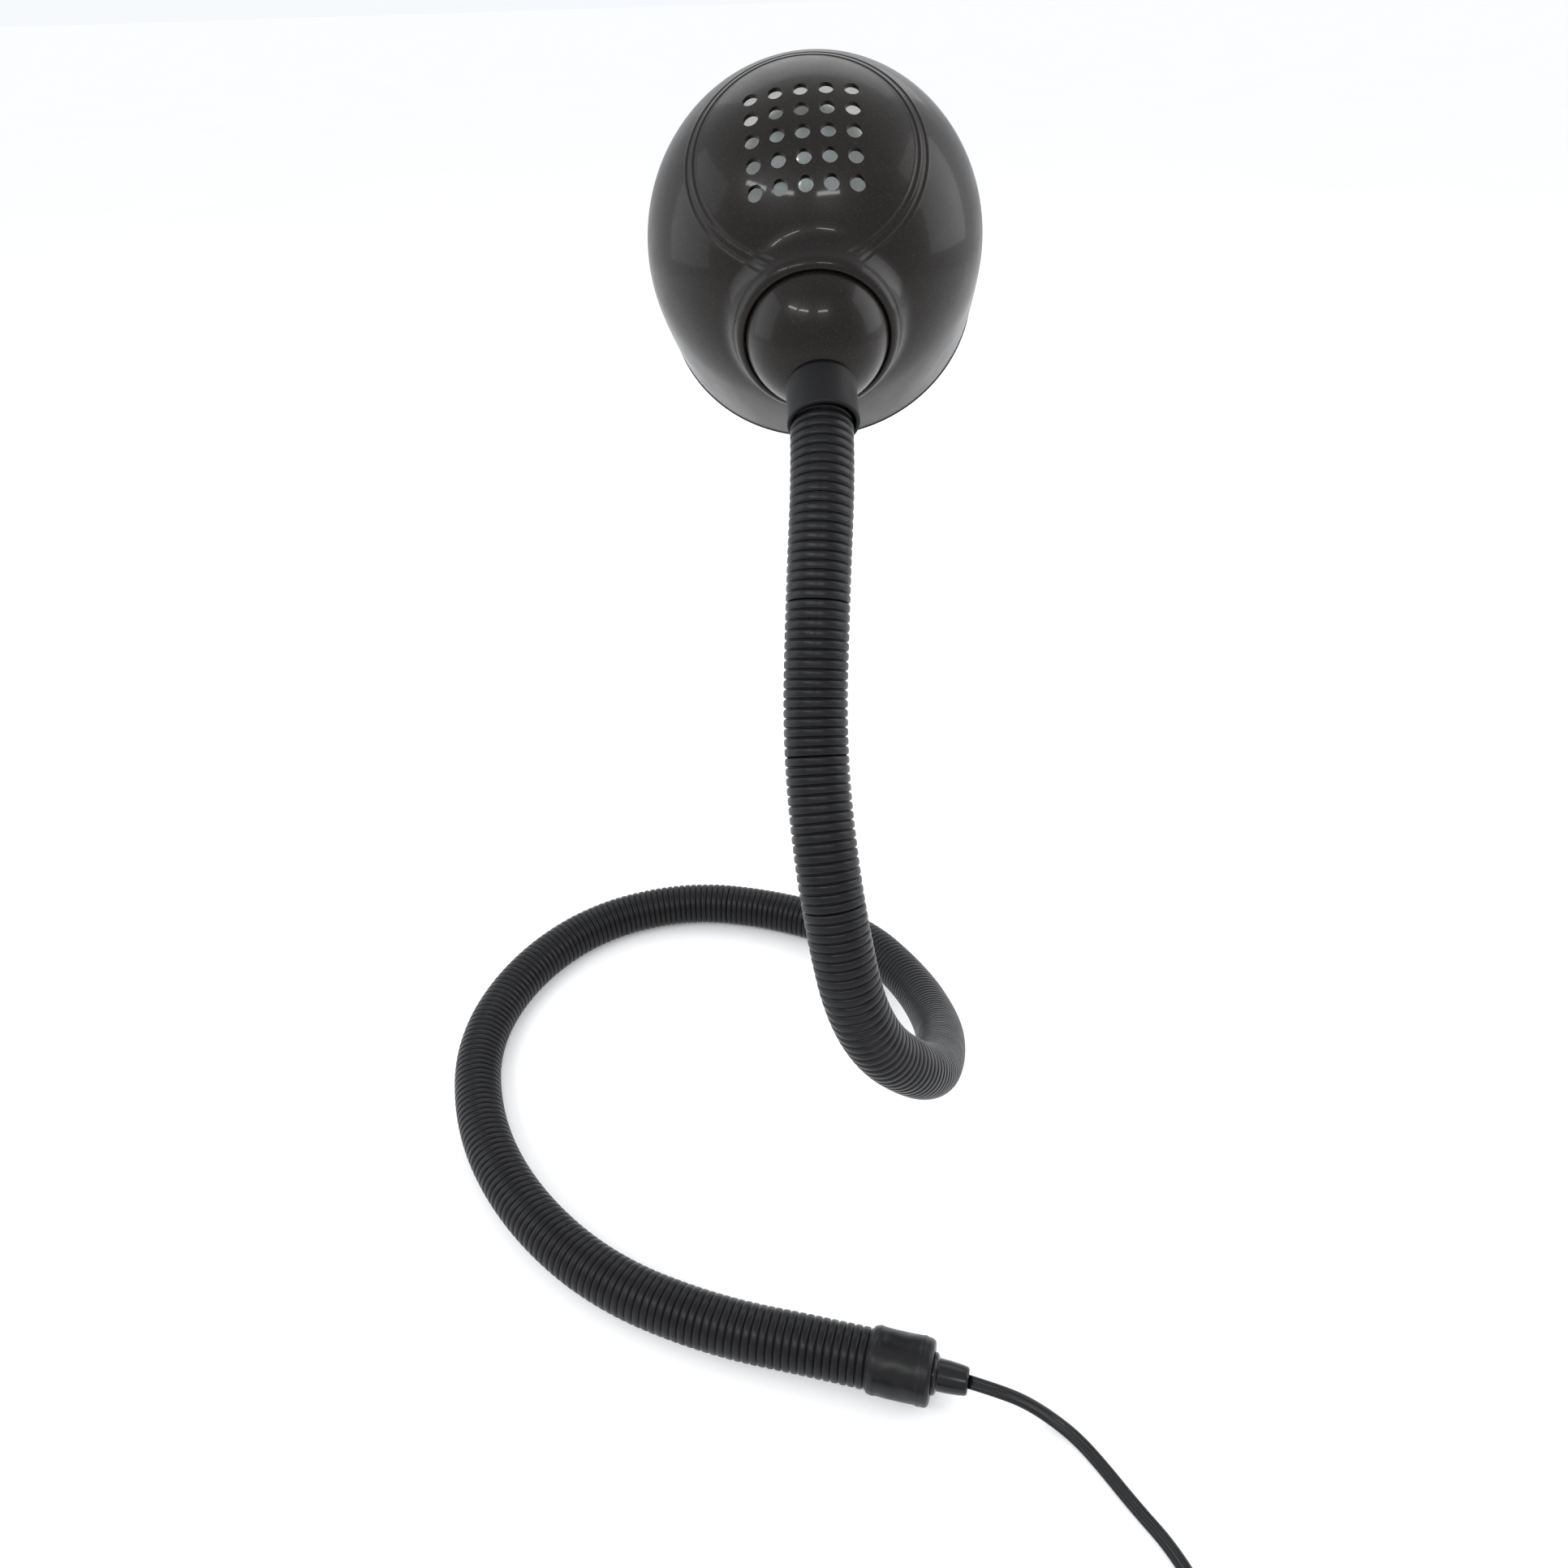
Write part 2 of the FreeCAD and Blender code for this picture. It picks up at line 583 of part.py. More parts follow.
def vent_holes():
    holes = []
    first = -(VENTS_ACROSS - 1) / 2 * VENT_PITCH
    for column in range(VENTS_ACROSS):
        for row in range(VENTS_ACROSS):
            foot = Vector(first + column * VENT_PITCH, first + row * VENT_PITCH, SHADE_R * 0.8)
            holes.append(moved(Part.makeCylinder(VENT_R, SHADE_R * 0.4, foot), SHADE))
    return holes


def shade_hollow():
    return crown_solid(SHADE_R - SHADE_WALL, SHADE_MOUTH_R - SHADE_WALL, SHADE_SKIRT)


def shade_wall():
    """The shell's wall before the socket and the vents are made in it."""
    return crown_solid(SHADE_R, SHADE_MOUTH_R, SHADE_SKIRT).cut(shade_hollow())


def socket_bar():
    """Cylinder along the socket's axis that parts the socket from the shell."""
    return moved(Part.makeCylinder(SOCKET_CUT_R, 2 * SOCKET_CUT_R, Vector(0, 0, -SOCKET_CUT_R)), SOCKET)


def shade_shell():
    return shade_wall().cut(socket_bar()).cut(vent_holes()).Solids[0]


def shade_socket():
    """Disc of the shade's wall round the ball, with the lip that the ball is held in."""
    disc = shade_wall().common(socket_bar())
    disc = disc.fuse(socket_lip().cut(shade_hollow()))
    return disc.cut(Part.makeSphere(SOCKET_R, BALL_CENTRE)).Solids[0]


def retaining_ring():
    """Snap-in ring behind the ball, seated on the ball's inner half."""
    def on_ball(h):
        return math.sqrt(SOCKET_R ** 2 - h ** 2)
    centre = (RETAINER_START + RETAINER_END) / 2
    edges = [
        line((on_ball(RETAINER_END), RETAINER_END), (RETAINER_R, RETAINER_END)),
        line((RETAINER_R, RETAINER_END), (RETAINER_FOOT_R, RETAINER_START)),
        line((RETAINER_FOOT_R, RETAINER_START), (on_ball(RETAINER_START), RETAINER_START)),
        arc((on_ball(RETAINER_START), RETAINER_START), (on_ball(centre), centre),
            (on_ball(RETAINER_END), RETAINER_END)),
    ]
    return turned_edges(edges, SOCKET)


def build():
    os.makedirs("parts", exist_ok=True)
    for i, name in enumerate(LENGTH_NAMES):
        save(f"sleeve_{name}", tube_length(i, TUBE_R, SLEEVE_BORE_R))
        save(f"steel_hose_{name}", tube_length(i, CORE_R, CORE_BORE_R))
        save(f"inner_lead_{name}", tube_length(i, LEAD_R, 0))
    save("end_cap", end_cap())
    save("cord_gland", cord_gland())
    save("supply_cord", supply_cord())
    save("cord_coil", cord_coil())
    save("switch_base", switch_half(0, SWITCH_SPLIT))
    save("switch_cover", switch_cover())
    save("switch_rocker", switch_rocker())
    save("plug_body", plug_body())
    save("plug_pins", plug_pins())
    save("neck_collar", neck_collar())
    save("nipple", pipe_along_neck(NIPPLE_R, NIPPLE_BORE_R, COLLAR_SEAT + 0.3, NIPPLE_END))
    save("hub_washer", pipe_along_neck(WASHER_R, NIPPLE_R, HUB_INNER + FACE_GAP,
                                       HUB_INNER + FACE_GAP + WASHER_THICK))
    save("lock_nut", lock_nut())
    save("swivel_ball", swivel_ball())
    save("lamp_holder_cap", holder_cap())
    save("lamp_holder_skirt", holder_skirt())
    save("lamp_holder_insert", holder_insert())
    save("lamp_holder_screw_shell", screw_shell())
    save("lamp_holder_contact", holder_contact())
    save("bulb_cap", bulb_cap())
    save("bulb_glass", bulb_glass())
    save("shade_shell", shade_shell())
    save("shade_socket", shade_socket())
    save("retaining_ring", retaining_ring())
    print("tube radii", [round(r) for r in route_radii(TUBE_CORNERS)])


build()
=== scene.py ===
# Flexible gooseneck table lamp with a round shade: the looks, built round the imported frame.
# Lengths are written in millimetres and turned into metres by MM.
import json
import math

import bmesh
import bpy
import numpy as np
from mathutils import Matrix, Vector


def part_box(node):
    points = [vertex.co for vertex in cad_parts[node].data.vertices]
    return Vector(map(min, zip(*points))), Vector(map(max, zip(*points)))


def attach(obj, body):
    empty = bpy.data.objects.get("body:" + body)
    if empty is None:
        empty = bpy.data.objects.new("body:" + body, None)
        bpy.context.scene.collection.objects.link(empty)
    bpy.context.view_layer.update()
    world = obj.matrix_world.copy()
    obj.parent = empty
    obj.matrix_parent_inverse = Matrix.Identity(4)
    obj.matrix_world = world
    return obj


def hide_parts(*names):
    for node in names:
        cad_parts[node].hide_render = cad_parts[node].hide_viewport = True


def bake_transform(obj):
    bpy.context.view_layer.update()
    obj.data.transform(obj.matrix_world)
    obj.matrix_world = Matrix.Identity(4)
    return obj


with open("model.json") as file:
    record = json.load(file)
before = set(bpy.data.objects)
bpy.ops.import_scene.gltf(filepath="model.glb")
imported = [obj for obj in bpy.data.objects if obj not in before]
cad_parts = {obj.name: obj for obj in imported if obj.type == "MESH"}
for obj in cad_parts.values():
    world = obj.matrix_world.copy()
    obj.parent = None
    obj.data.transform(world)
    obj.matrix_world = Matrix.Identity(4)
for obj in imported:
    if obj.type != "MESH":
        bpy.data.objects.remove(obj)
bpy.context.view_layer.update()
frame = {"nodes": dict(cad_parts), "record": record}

MM = 0.001

# ---------------------------------------------------------------- camera
CAMERA_PLACE = (0.047, -0.429, 0.507)
CAMERA_TILT = 54.7       # degrees from straight down
CAMERA_ROLL = -1.8
CAMERA_LENS = 26.087


def make_camera():
    data = bpy.data.cameras.new("camera")
    data.lens = CAMERA_LENS
    data.sensor_width = 36.0
    data.clip_start = 0.01
    data.clip_end = 30.0
    camera = bpy.data.objects.new("camera", data)
    bpy.context.collection.objects.link(camera)
    tilt = Matrix.Rotation(math.radians(CAMERA_TILT), 4, "X")
    roll = Matrix.Rotation(math.radians(CAMERA_ROLL), 4, "Z")
    camera.matrix_world = Matrix.Translation(CAMERA_PLACE) @ tilt @ roll
    bpy.context.scene.camera = camera


make_camera()


# ---------------------------------------------------------------- meshes
def add_object(name, vertices, faces, material=None):
    """New mesh object; vertices are in metres."""
    mesh = bpy.data.meshes.new(name)
    mesh.from_pydata([tuple(v) for v in vertices], [], faces)
    mesh.update()
    mesh.shade_smooth()
    obj = bpy.data.objects.new(name, mesh)
    bpy.context.collection.objects.link(obj)
    if material:
        mesh.materials.append(material)
    return obj


def ring_faces(rings, size, closed, cap_start=False, cap_end=False):
    """Quads between neighbouring rings of vertices, with optional flat caps."""
    faces = []
    for i in range(rings if closed else rings - 1):
        a = i * size
        b = (i + 1) % rings * size
        for j in range(size):
            k = (j + 1) % size
            faces.append((a + j, a + k, b + k, b + j))
    if cap_start:
        faces.append(tuple(reversed(range(size))))
    if cap_end:
        faces.append(tuple(range((rings - 1) * size, rings * size)))
    return faces


def basis(axis, hint=(1, 0, 0)):
    """Two unit vectors square to axis and to each other."""
    z = Vector(axis).normalized()
    y = z.cross(Vector(hint)).normalized()
    x = y.cross(z)
    return x, y, z


def rounded(profile, radius, steps=4):
    """A closed (radius, height) outline with its corners off the axis rounded."""
    out = []
    count = len(profile)
    for i, point in enumerate(profile):
        here = Vector(point)
        before = Vector(profile[i - 1]) - here
        after = Vector(profile[(i + 1) % count]) - here
        if point[0] < 1e-6 or before.length < 1e-6 or after.length < 1e-6:
            out.append(tuple(here))
            continue
        half = before.angle(after) / 2
        if half > math.radians(86):
            out.append(tuple(here))
            continue
        reach = min(radius / math.tan(half), 0.45 * before.length, 0.45 * after.length)
        start = here + before.normalized() * reach
        end = here + after.normalized() * reach
        for k in range(steps + 1):
            t = k / steps
            out.append(tuple((1 - t) ** 2 * start + 2 * t * (1 - t) * here + t * t * end))
    return out


def bezier(start, pull_a, pull_b, end, t):
    """Point of a cubic curve at t, as a tuple."""
    u = 1 - t
    return tuple(u ** 3 * start + 3 * t * u ** 2 * pull_a + 3 * t * t * u * pull_b + t ** 3 * end)


def lathe(name, profile, origin, axis, material, steps=96, hint=(1, 0, 0)):
    """Closed solid of revolution from a closed outline of (radius, height) in millimetres."""
    x, y, z = basis(axis, hint)
    rims = []
    vertices = []
    for r, h in profile:
        base = Vector(origin) + z * (h * MM)
        if r < 1e-6:
            rims.append([len(vertices)])
            vertices.append(base)
            continue
        rims.append(list(range(len(vertices), len(vertices) + steps)))
        for j in range(steps):
            a = 2 * math.pi * j / steps
            vertices.append(base + (x * math.cos(a) + y * math.sin(a)) * (r * MM))
    faces = []
    for i in range(len(rims)):
        p, q = rims[i], rims[(i + 1) % len(rims)]
        if len(p) == 1 and len(q) == 1:
            continue
        for j in range(steps):
            k = (j + 1) % steps
            if len(p) == 1:
                faces.append((p[0], q[k], q[j]))
            elif len(q) == 1:
                faces.append((p[j], p[k], q[0]))
            else:
                faces.append((p[j], p[k], q[k], q[j]))
    obj = add_object(name, vertices, faces, material)
    face_outwards(obj)
    weigh_normals(obj)
    return obj


def face_outwards(obj):
    work = bmesh.new()
    work.from_mesh(obj.data)
    bmesh.ops.remove_doubles(work, verts=work.verts, dist=1e-7)
    bmesh.ops.recalc_face_normals(work, faces=work.faces)
    work.to_mesh(obj.data)
    work.free()
    obj.data.shade_smooth()


def weigh_normals(obj):
    weigh = obj.modifiers.new("weigh", "WEIGHTED_NORMAL")
    weigh.keep_sharp = True
    weigh.weight = 80


def apply_modifiers(obj):
    bpy.context.view_layer.update()
    graph = bpy.context.evaluated_depsgraph_get()
    mesh = bpy.data.meshes.new_from_object(obj.evaluated_get(graph))
    old = obj.data
    obj.modifiers.clear()
    obj.data = mesh
    bpy.data.meshes.remove(old)


def cut(obj, cutters):
    """Cuts the cutters out of obj and removes them."""
    group = bpy.data.collections.new("cutters")
    for cutter in cutters:
        group.objects.link(cutter)
    modifier = obj.modifiers.new("cut", "BOOLEAN")
    modifier.operation = "DIFFERENCE"
    modifier.solver = "EXACT"
    modifier.operand_type = "COLLECTION"
    modifier.collection = group
    apply_modifiers(obj)
    for cutter in cutters:
        bpy.data.objects.remove(cutter)
    bpy.data.collections.remove(group)


# ---------------------------------------------------------------- smooth lines
def spline_line(points, resolution):
    """Points along the quadratic NURBS spline that has these control points."""
    data = bpy.data.curves.new("route", "CURVE")
    data.dimensions = "3D"
    spline = data.splines.new("NURBS")
    spline.points.add(len(points) - 1)
    for point, place in zip(spline.points, points):
        point.co = (*place, 1.0)
    spline.order_u = 3
    spline.use_endpoint_u = True
    spline.resolution_u = resolution
    data.resolution_u = resolution
    obj = bpy.data.objects.new("route", data)
    bpy.context.collection.objects.link(obj)
    bpy.context.view_layer.update()
    graph = bpy.context.evaluated_depsgraph_get()
    mesh = bpy.data.meshes.new_from_object(obj.evaluated_get(graph))
    line = np.array([v.co[:] for v in mesh.vertices])
    bpy.data.meshes.remove(mesh)
    bpy.data.objects.remove(obj)
    bpy.data.curves.remove(data)
    apart = np.linalg.norm(np.diff(line, axis=0), axis=1) > 1e-7
    return line[np.concatenate([[True], apart])]


class Line:
    """A fine line with its length along it and a frame that doesn't twist."""

    def __init__(self, points):
        self.points = points
        steps = np.linalg.norm(np.diff(points, axis=0), axis=1)
        self.along = np.concatenate([[0.0], np.cumsum(steps)])
        self.length = float(self.along[-1])
        tangents = np.gradient(points, self.along, axis=0)
        self.tangents = tangents / np.linalg.norm(tangents, axis=1)[:, None]
        side = np.cross(self.tangents[0], (0.0, 0.0, 1.0))
        sides = []
        for tangent in self.tangents:
            side = side - tangent * side.dot(tangent)
            side = side / np.linalg.norm(side)
            sides.append(side)
        self.sides = np.array(sides)

    def at(self, s):
        """Place, tangent and two directions across at length s."""
        place, tangent, side = (
            np.array([np.interp(s, self.along, rows[:, i]) for i in range(3)])
            for rows in (self.points, self.tangents, self.sides)
        )
        tangent = tangent / np.linalg.norm(tangent)
        side = side - tangent * side.dot(tangent)
        side = side / np.linalg.norm(side)
        return place, tangent, side, np.cross(tangent, side)

    def nearest(self, place):
        """Length along the line of its point nearest to place."""
        return float(self.along[np.linalg.norm(self.points - np.array(place), axis=1).argmin()])


# ---------------------------------------------------------------- materials
def new_material(name, **sockets):
    """New material; each keyword sets the shader socket of that name directly."""
    material = bpy.data.materials.new(name)
    material.use_nodes = True
    shader = material.node_tree.nodes["Principled BSDF"]
    for socket, value in sockets.items():
        shader.inputs[socket.replace("_", " ")].default_value = value
    return material, material.node_tree, shader


def noise(tree, scale, detail=4.0, stretch=(1, 1, 1)):
    """Noise in the object's own space, so that it moves with the object."""
    coordinate = tree.nodes.new("ShaderNodeTexCoord")
    mapping = tree.nodes.new("ShaderNodeMapping")
    mapping.inputs["Scale"].default_value = stretch
    texture = tree.nodes.new("ShaderNodeTexNoise")
    texture.inputs["Scale"].default_value = scale
    texture.inputs["Detail"].default_value = detail
    tree.links.new(coordinate.outputs["Object"], mapping.inputs["Vector"])
    tree.links.new(mapping.outputs["Vector"], texture.inputs["Vector"])
    return texture.outputs["Fac"]


def ramp(tree, value, stops):
    """Colour ramp over value, from (position, colour) stops."""
    node = tree.nodes.new("ShaderNodeValToRGB")
    elements = node.color_ramp.elements
    while len(elements) > len(stops):
        elements.remove(elements[-1])
    while len(elements) < len(stops):
        elements.new(1.0)
    for element, (position, colour) in zip(elements, stops):
        element.position = position
        element.color = (*colour, 1.0)
    tree.links.new(value, node.inputs["Fac"])
    return node.outputs["Color"]


def bump(tree, shader, heights):
    """Chain of bumps from (height socket, depth in metres)."""
    normal = None
    for height, depth in heights:
        node = tree.nodes.new("ShaderNodeBump")
        node.inputs["Distance"].default_value = depth
        node.inputs["Strength"].default_value = 1.0
        tree.links.new(height, node.inputs["Height"])
        if normal:
            tree.links.new(normal, node.inputs["Normal"])
        normal = node.outputs["Normal"]
    tree.links.new(normal, shader.inputs["Normal"])


def grey(value):
    return (value, value, value)


def plastic(name, dark, light, rough, rough_spread=0.06, grain=900, depth=0.00002, **sockets):
    """Moulded plastic: cloudy colour, uneven gloss and a fine grain."""
    material, tree, shader = new_material(name, **sockets)
    cloud = noise(tree, 38, 5)
    tree.links.new(ramp(tree, cloud, [(0.3, dark), (0.7, light)]), shader.inputs["Base Color"])
    low = grey(rough - rough_spread)
    high = grey(rough + rough_spread)
    gloss = ramp(tree, noise(tree, 90, 6), [(0.3, low), (0.7, high)])
    tree.links.new(gloss, shader.inputs["Roughness"])
    bump(tree, shader, [(noise(tree, grain, 3), depth)])
    return material


def shade_gloss():
    """Glossy brown-black plastic with a faint metallic fleck and orange peel."""
    material, tree, shader = new_material(
        "shade_gloss", Coat_Weight=0.20, Coat_Roughness=0.07, Coat_IOR=1.4, Specular_IOR_Level=0.14)
    cloud = noise(tree, 22, 5)
    base = ramp(tree, cloud, [(0.3, (0.0050, 0.0036, 0.0028)), (0.7, (0.0078, 0.0058, 0.0046))])
    cells = tree.nodes.new("ShaderNodeTexVoronoi")
    cells.inputs["Scale"].default_value = 3600
    coordinate = tree.nodes.new("ShaderNodeTexCoord")
    tree.links.new(coordinate.outputs["Object"], cells.inputs["Vector"])
    fleck = ramp(tree, cells.outputs["Color"], [(0.80, grey(0)), (0.98, grey(1))])
    mix = tree.nodes.new("ShaderNodeMix")
    mix.data_type = "RGBA"
    mix.inputs["B"].default_value = (0.035, 0.030, 0.026, 1)
    tree.links.new(fleck, mix.inputs["Factor"])
    tree.links.new(base, mix.inputs["A"])
    tree.links.new(mix.outputs["Result"], shader.inputs["Base Color"])
    rough = ramp(tree, noise(tree, 60, 6), [(0.3, grey(0.30)), (0.7, grey(0.40))])
    tree.links.new(rough, shader.inputs["Roughness"])
    bump(tree, shader, [(noise(tree, 130, 2), 0.00006), (noise(tree, 900, 3), 0.000012)])
    return material


METAL_SPREAD = 0.07      # how far a metal's roughness strays either side of its mean


def metal(name, dark, light, rough, stretch=(1, 1, 1), **sockets):
    """Bare metal with a cloudy colour and a fine grain, stretched where it is turned."""
    material, tree, shader = new_material(name, Metallic=1.0, **sockets)
    cloud = noise(tree, 60, 5)
    tree.links.new(ramp(tree, cloud, [(0.3, dark), (0.7, light)]), shader.inputs["Base Color"])
    fine = noise(tree, 500, 4, stretch)
    low = grey(rough - METAL_SPREAD)
    high = grey(rough + METAL_SPREAD)
    tree.links.new(ramp(tree, fine, [(0.3, low), (0.7, high)]), shader.inputs["Roughness"])
    bump(tree, shader, [(fine, 0.00001)])
    return material


SHADE = shade_gloss()
LINING = plastic("shade_lining", (0.62, 0.61, 0.58), (0.72, 0.71, 0.68), 0.42, grain=500)
SLEEVE = plastic("ribbed_pvc", (0.0030, 0.0030, 0.0036), (0.0055, 0.0055, 0.0064), 0.36, 0.07, 1300, 0.000025,
                 Specular_IOR_Level=0.22)
COLLAR = plastic("collar_black", (0.0038, 0.0038, 0.0042), (0.0055, 0.0055, 0.0060), 0.50, 0.05, 1500,
                 0.00003, Specular_IOR_Level=0.2)
VINYL = plastic("soft_vinyl", (0.0030, 0.0030, 0.0034), (0.0060, 0.0060, 0.0066), 0.36, 0.08, 700, 0.00004,
                Specular_IOR_Level=0.25)
GLAND = plastic("gland_gloss", (0.0030, 0.0030, 0.0034), (0.0050, 0.0050, 0.0055), 0.22, 0.05, 600, 0.00002,
                Specular_IOR_Level=0.3)
CORD = plastic("cord_pvc", (0.0035, 0.0035, 0.0040), (0.0065, 0.0065, 0.0072), 0.32, 0.07, 800, 0.00002,
               Specular_IOR_Level=0.3)
SWITCH = plastic("switch_black", (0.012, 0.012, 0.013), (0.020, 0.020, 0.021), 0.34, 0.06, 1600, 0.00004)
INNER = plastic("inner_black", (0.016, 0.016, 0.016), (0.026, 0.026, 0.026), 0.48)
PHENOLIC = plastic("phenolic_black", (0.012, 0.010, 0.009), (0.022, 0.018, 0.016), 0.32, 0.07, 500, 0.00004)
CERAMIC = plastic("holder_ceramic", (0.66, 0.64, 0.60), (0.78, 0.77, 0.74), 0.22, 0.04, 300, 0.00004)
GLASS = plastic("opal_glass", (0.62, 0.61, 0.59), (0.70, 0.69, 0.67), 0.14, 0.03, 200, 0.000004,
                Subsurface_Weight=0.25, Coat_Weight=0.5, Coat_Roughness=0.04)
BRASS = metal("brass", (0.52, 0.37, 0.15), (0.66, 0.49, 0.22), 0.30)
PLATED = metal("plated_brass", (0.60, 0.58, 0.54), (0.74, 0.72, 0.68), 0.22, (1, 14, 14))
ZINC = metal("zinc_steel", (0.42, 0.43, 0.44), (0.58, 0.59, 0.60), 0.36)
STEEL = metal("wound_steel", (0.30, 0.30, 0.31), (0.46, 0.46, 0.47), 0.40)
CAP_METAL = metal("cap_aluminium", (0.70, 0.70, 0.71), (0.80, 0.80, 0.81), 0.30)

SLOT_LOOKS = {
    "ribbed_sleeve": SLEEVE, "wound_steel": STEEL, "soft_vinyl": VINYL, "gland_plastic": GLAND,
    "cord_pvc": CORD, "switch_plastic": SWITCH, "plug_pvc": CORD, "plated_brass": PLATED,
    "zinc_steel": ZINC, "phenolic": PHENOLIC, "holder_ceramic": CERAMIC, "brass": BRASS,
    "cap_aluminium": CAP_METAL, "opal_glass": GLASS, "shade_plastic": SHADE, "inner_plastic": INNER,
}


def paint_frame_nodes():
    """Every CAD node gets the look of its material slot."""
    for part in frame["record"]["subparts"]:
        node = bpy.data.objects.get(part["node"]) or frame["nodes"][part["node"]]
        look = SLOT_LOOKS[part["material_slot"]]
        if not node.material_slots:
            node.data.materials.append(look)
        for holder in node.material_slots:
            holder.material = look


def finished(obj, body, slot, *nodes):
    """Hangs obj on the empty of the body that it rides on and hides the CAD nodes that it stands for; slot is
    not used.
    """
    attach(obj, body)
    if nodes:
        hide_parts(*nodes)
    return obj


# ---------------------------------------------------------------- supply cord
CORD_WIDTH = 5.8
CORD_THICK = 3.0
CORD_GROOVE = 0.85       # half the thickness in the groove between the two cores
LOBE_TURN = 128          # degrees of each core's outline either side of its outermost point
CORD_ROUTE = [
    (0.1178, -0.1812, 0.0152),
    (0.1300, -0.1848, 0.0138),
    (0.1415, -0.1875, 0.0095),
    (0.1520, -0.1920, 0.0045),
    (0.1620, -0.1995, 0.0016),
    (0.1700, -0.2110, 0.0015),
    (0.1790, -0.2260, 0.0015),
    (0.1900, -0.2420, 0.0015),
    (0.1970, -0.2610, 0.0015),
    (0.1970, -0.2810, 0.0015),
    (0.1900, -0.3000, 0.0015),
    (0.1770, -0.3160, 0.0015),
    (0.1590, -0.3280, 0.0035),
    (0.1380, -0.3330, 0.0080),
    (0.1120, -0.3340, 0.0080),
    (0.0840, -0.3360, 0.0035),
]
COIL_MIDDLE = (60.0, -297.0)
COIL_OUTER_R = 38.5
COIL_INNER_R = 25.2
COIL_LAYER = 3.2
LAYER_TURN = 700.0       # degrees that the cord turns in each of its three flat layers
CLIMB_TURN = 120.0       # degrees over which it climbs to the next layer
LEAVE_TURN = 147.0       # degrees over which it leaves the coil for the plug
LEAVE_R = 32.6
PLUG_AXIS = 16.35
COIL_POINTS = 126
PLUG_END = [(0.0700, -0.3284, 0.01635), (0.0620, -0.3293, 0.01635)]


def smooth(share):
    """Share from 0 to 1 that starts and ends gently."""
    share = min(1.0, max(0.0, share))
    return share * share * (3 - 2 * share)


def coil_radius_height(turned):
    """Radius and height of the coil's line after it has turned by so many degrees."""
    span = COIL_OUTER_R - COIL_INNER_R
    height = CORD_THICK / 2
    if turned <= LAYER_TURN:
        return COIL_OUTER_R - span * turned / LAYER_TURN, height
    turned -= LAYER_TURN
    if turned <= CLIMB_TURN:
        return COIL_INNER_R, height + COIL_LAYER * turned / CLIMB_TURN
    turned -= CLIMB_TURN
    if turned <= LAYER_TURN:
        return COIL_INNER_R + span * turned / LAYER_TURN, height + COIL_LAYER
    turned -= LAYER_TURN
    if turned <= CLIMB_TURN:
        return COIL_OUTER_R, height + COIL_LAYER * (1 + turned / CLIMB_TURN)
    turned -= CLIMB_TURN
    height += 2 * COIL_LAYER
    if turned <= LAYER_TURN:
        return COIL_OUTER_R - span * turned / LAYER_TURN, height
    leave = smooth((turned - LAYER_TURN) / LEAVE_TURN)
    return COIL_INNER_R + (LEAVE_R - COIL_INNER_R) * leave, height + (PLUG_AXIS - height) * leave


def coil_points():
    """Control points of the coil, clockwise from its lowest edge, and of the rise to the plug."""
    step = (3 * LAYER_TURN + 2 * CLIMB_TURN + LEAVE_TURN) / COIL_POINTS
    widen = 2 / (1 + math.cos(math.radians(step / 2)) ** 2)
    points = []
    for i in range(1, COIL_POINTS + 1):
        radius, height = coil_radius_height(i * step)
        angle = math.radians(-90 - i * step)
        points.append((
            (COIL_MIDDLE[0] + radius * widen * math.cos(angle)) * MM,
            (COIL_MIDDLE[1] + radius * widen * math.sin(angle)) * MM,
            height * MM,
        ))
    return points + PLUG_END


def flat_outline():
    """Outline of the twin cord: two round cores side by side with a groove between them."""
    radius = CORD_THICK / 2
    middle = CORD_WIDTH / 2 - radius
    lobe = [math.radians(-LOBE_TURN + 2 * LOBE_TURN * i / 12) for i in range(13)]
    right = [(middle + radius * math.cos(a), radius * math.sin(a)) for a in lobe]
    left = [(-x, -y) for x, y in right]
    return right + [(0.0, CORD_GROOVE)] + left + [(0.0, -CORD_GROOVE)]


def make_cord():
    """Flat twin cord that follows its line with its broad side level."""
    line = spline_line(CORD_ROUTE + coil_points(), 8)
    steps = np.gradient(line, axis=0)
    outline = flat_outline()
    vertices = []
    for place, step in zip(line, steps):
        tangent = Vector(step).normalized()
        side = tangent.cross(Vector((0, 0, 1))).normalized()
        up = side.cross(tangent)
        vertices += [Vector(place) + side * (x * MM) + up * (y * MM) for x, y in outline]
    faces = ring_faces(len(line), len(outline), False, True, True)
    obj = add_object("supply_cord_flat", vertices, faces, CORD)
    face_outwards(obj)
    return finished(obj, "base_end", "cord_pvc", "supply_cord", "cord_coil"), line


cord, cord_line = make_cord()
print("cord length", float(np.linalg.norm(np.diff(cord_line, axis=0), axis=1).sum()))


# ---------------------------------------------------------------- plug
def loft(name, sections, material):
    """Closed skin through sections of equal vertex count, in metres."""
    size = len(sections[0])
    vertices = [v for section in sections for v in section]
    obj = add_object(name, vertices, ring_faces(len(sections), size, False, True, True), material)
    face_outwards(obj)
    return obj


def superellipse(centre, across, up, half_a, half_b, power, count=40):
    """Ring of points round a rounded rectangle; a higher power is squarer."""
    points = []
    for i in range(count):
        a = 2 * math.pi * i / count
        c, s = math.cos(a), math.sin(a)
        x = half_a * math.copysign(abs(c) ** (2 / power), c)
        y = half_b * math.copysign(abs(s) ** (2 / power), s)
        points.append(Vector(centre) + Vector(across) * (x * MM) + Vector(up) * (y * MM))
    return points


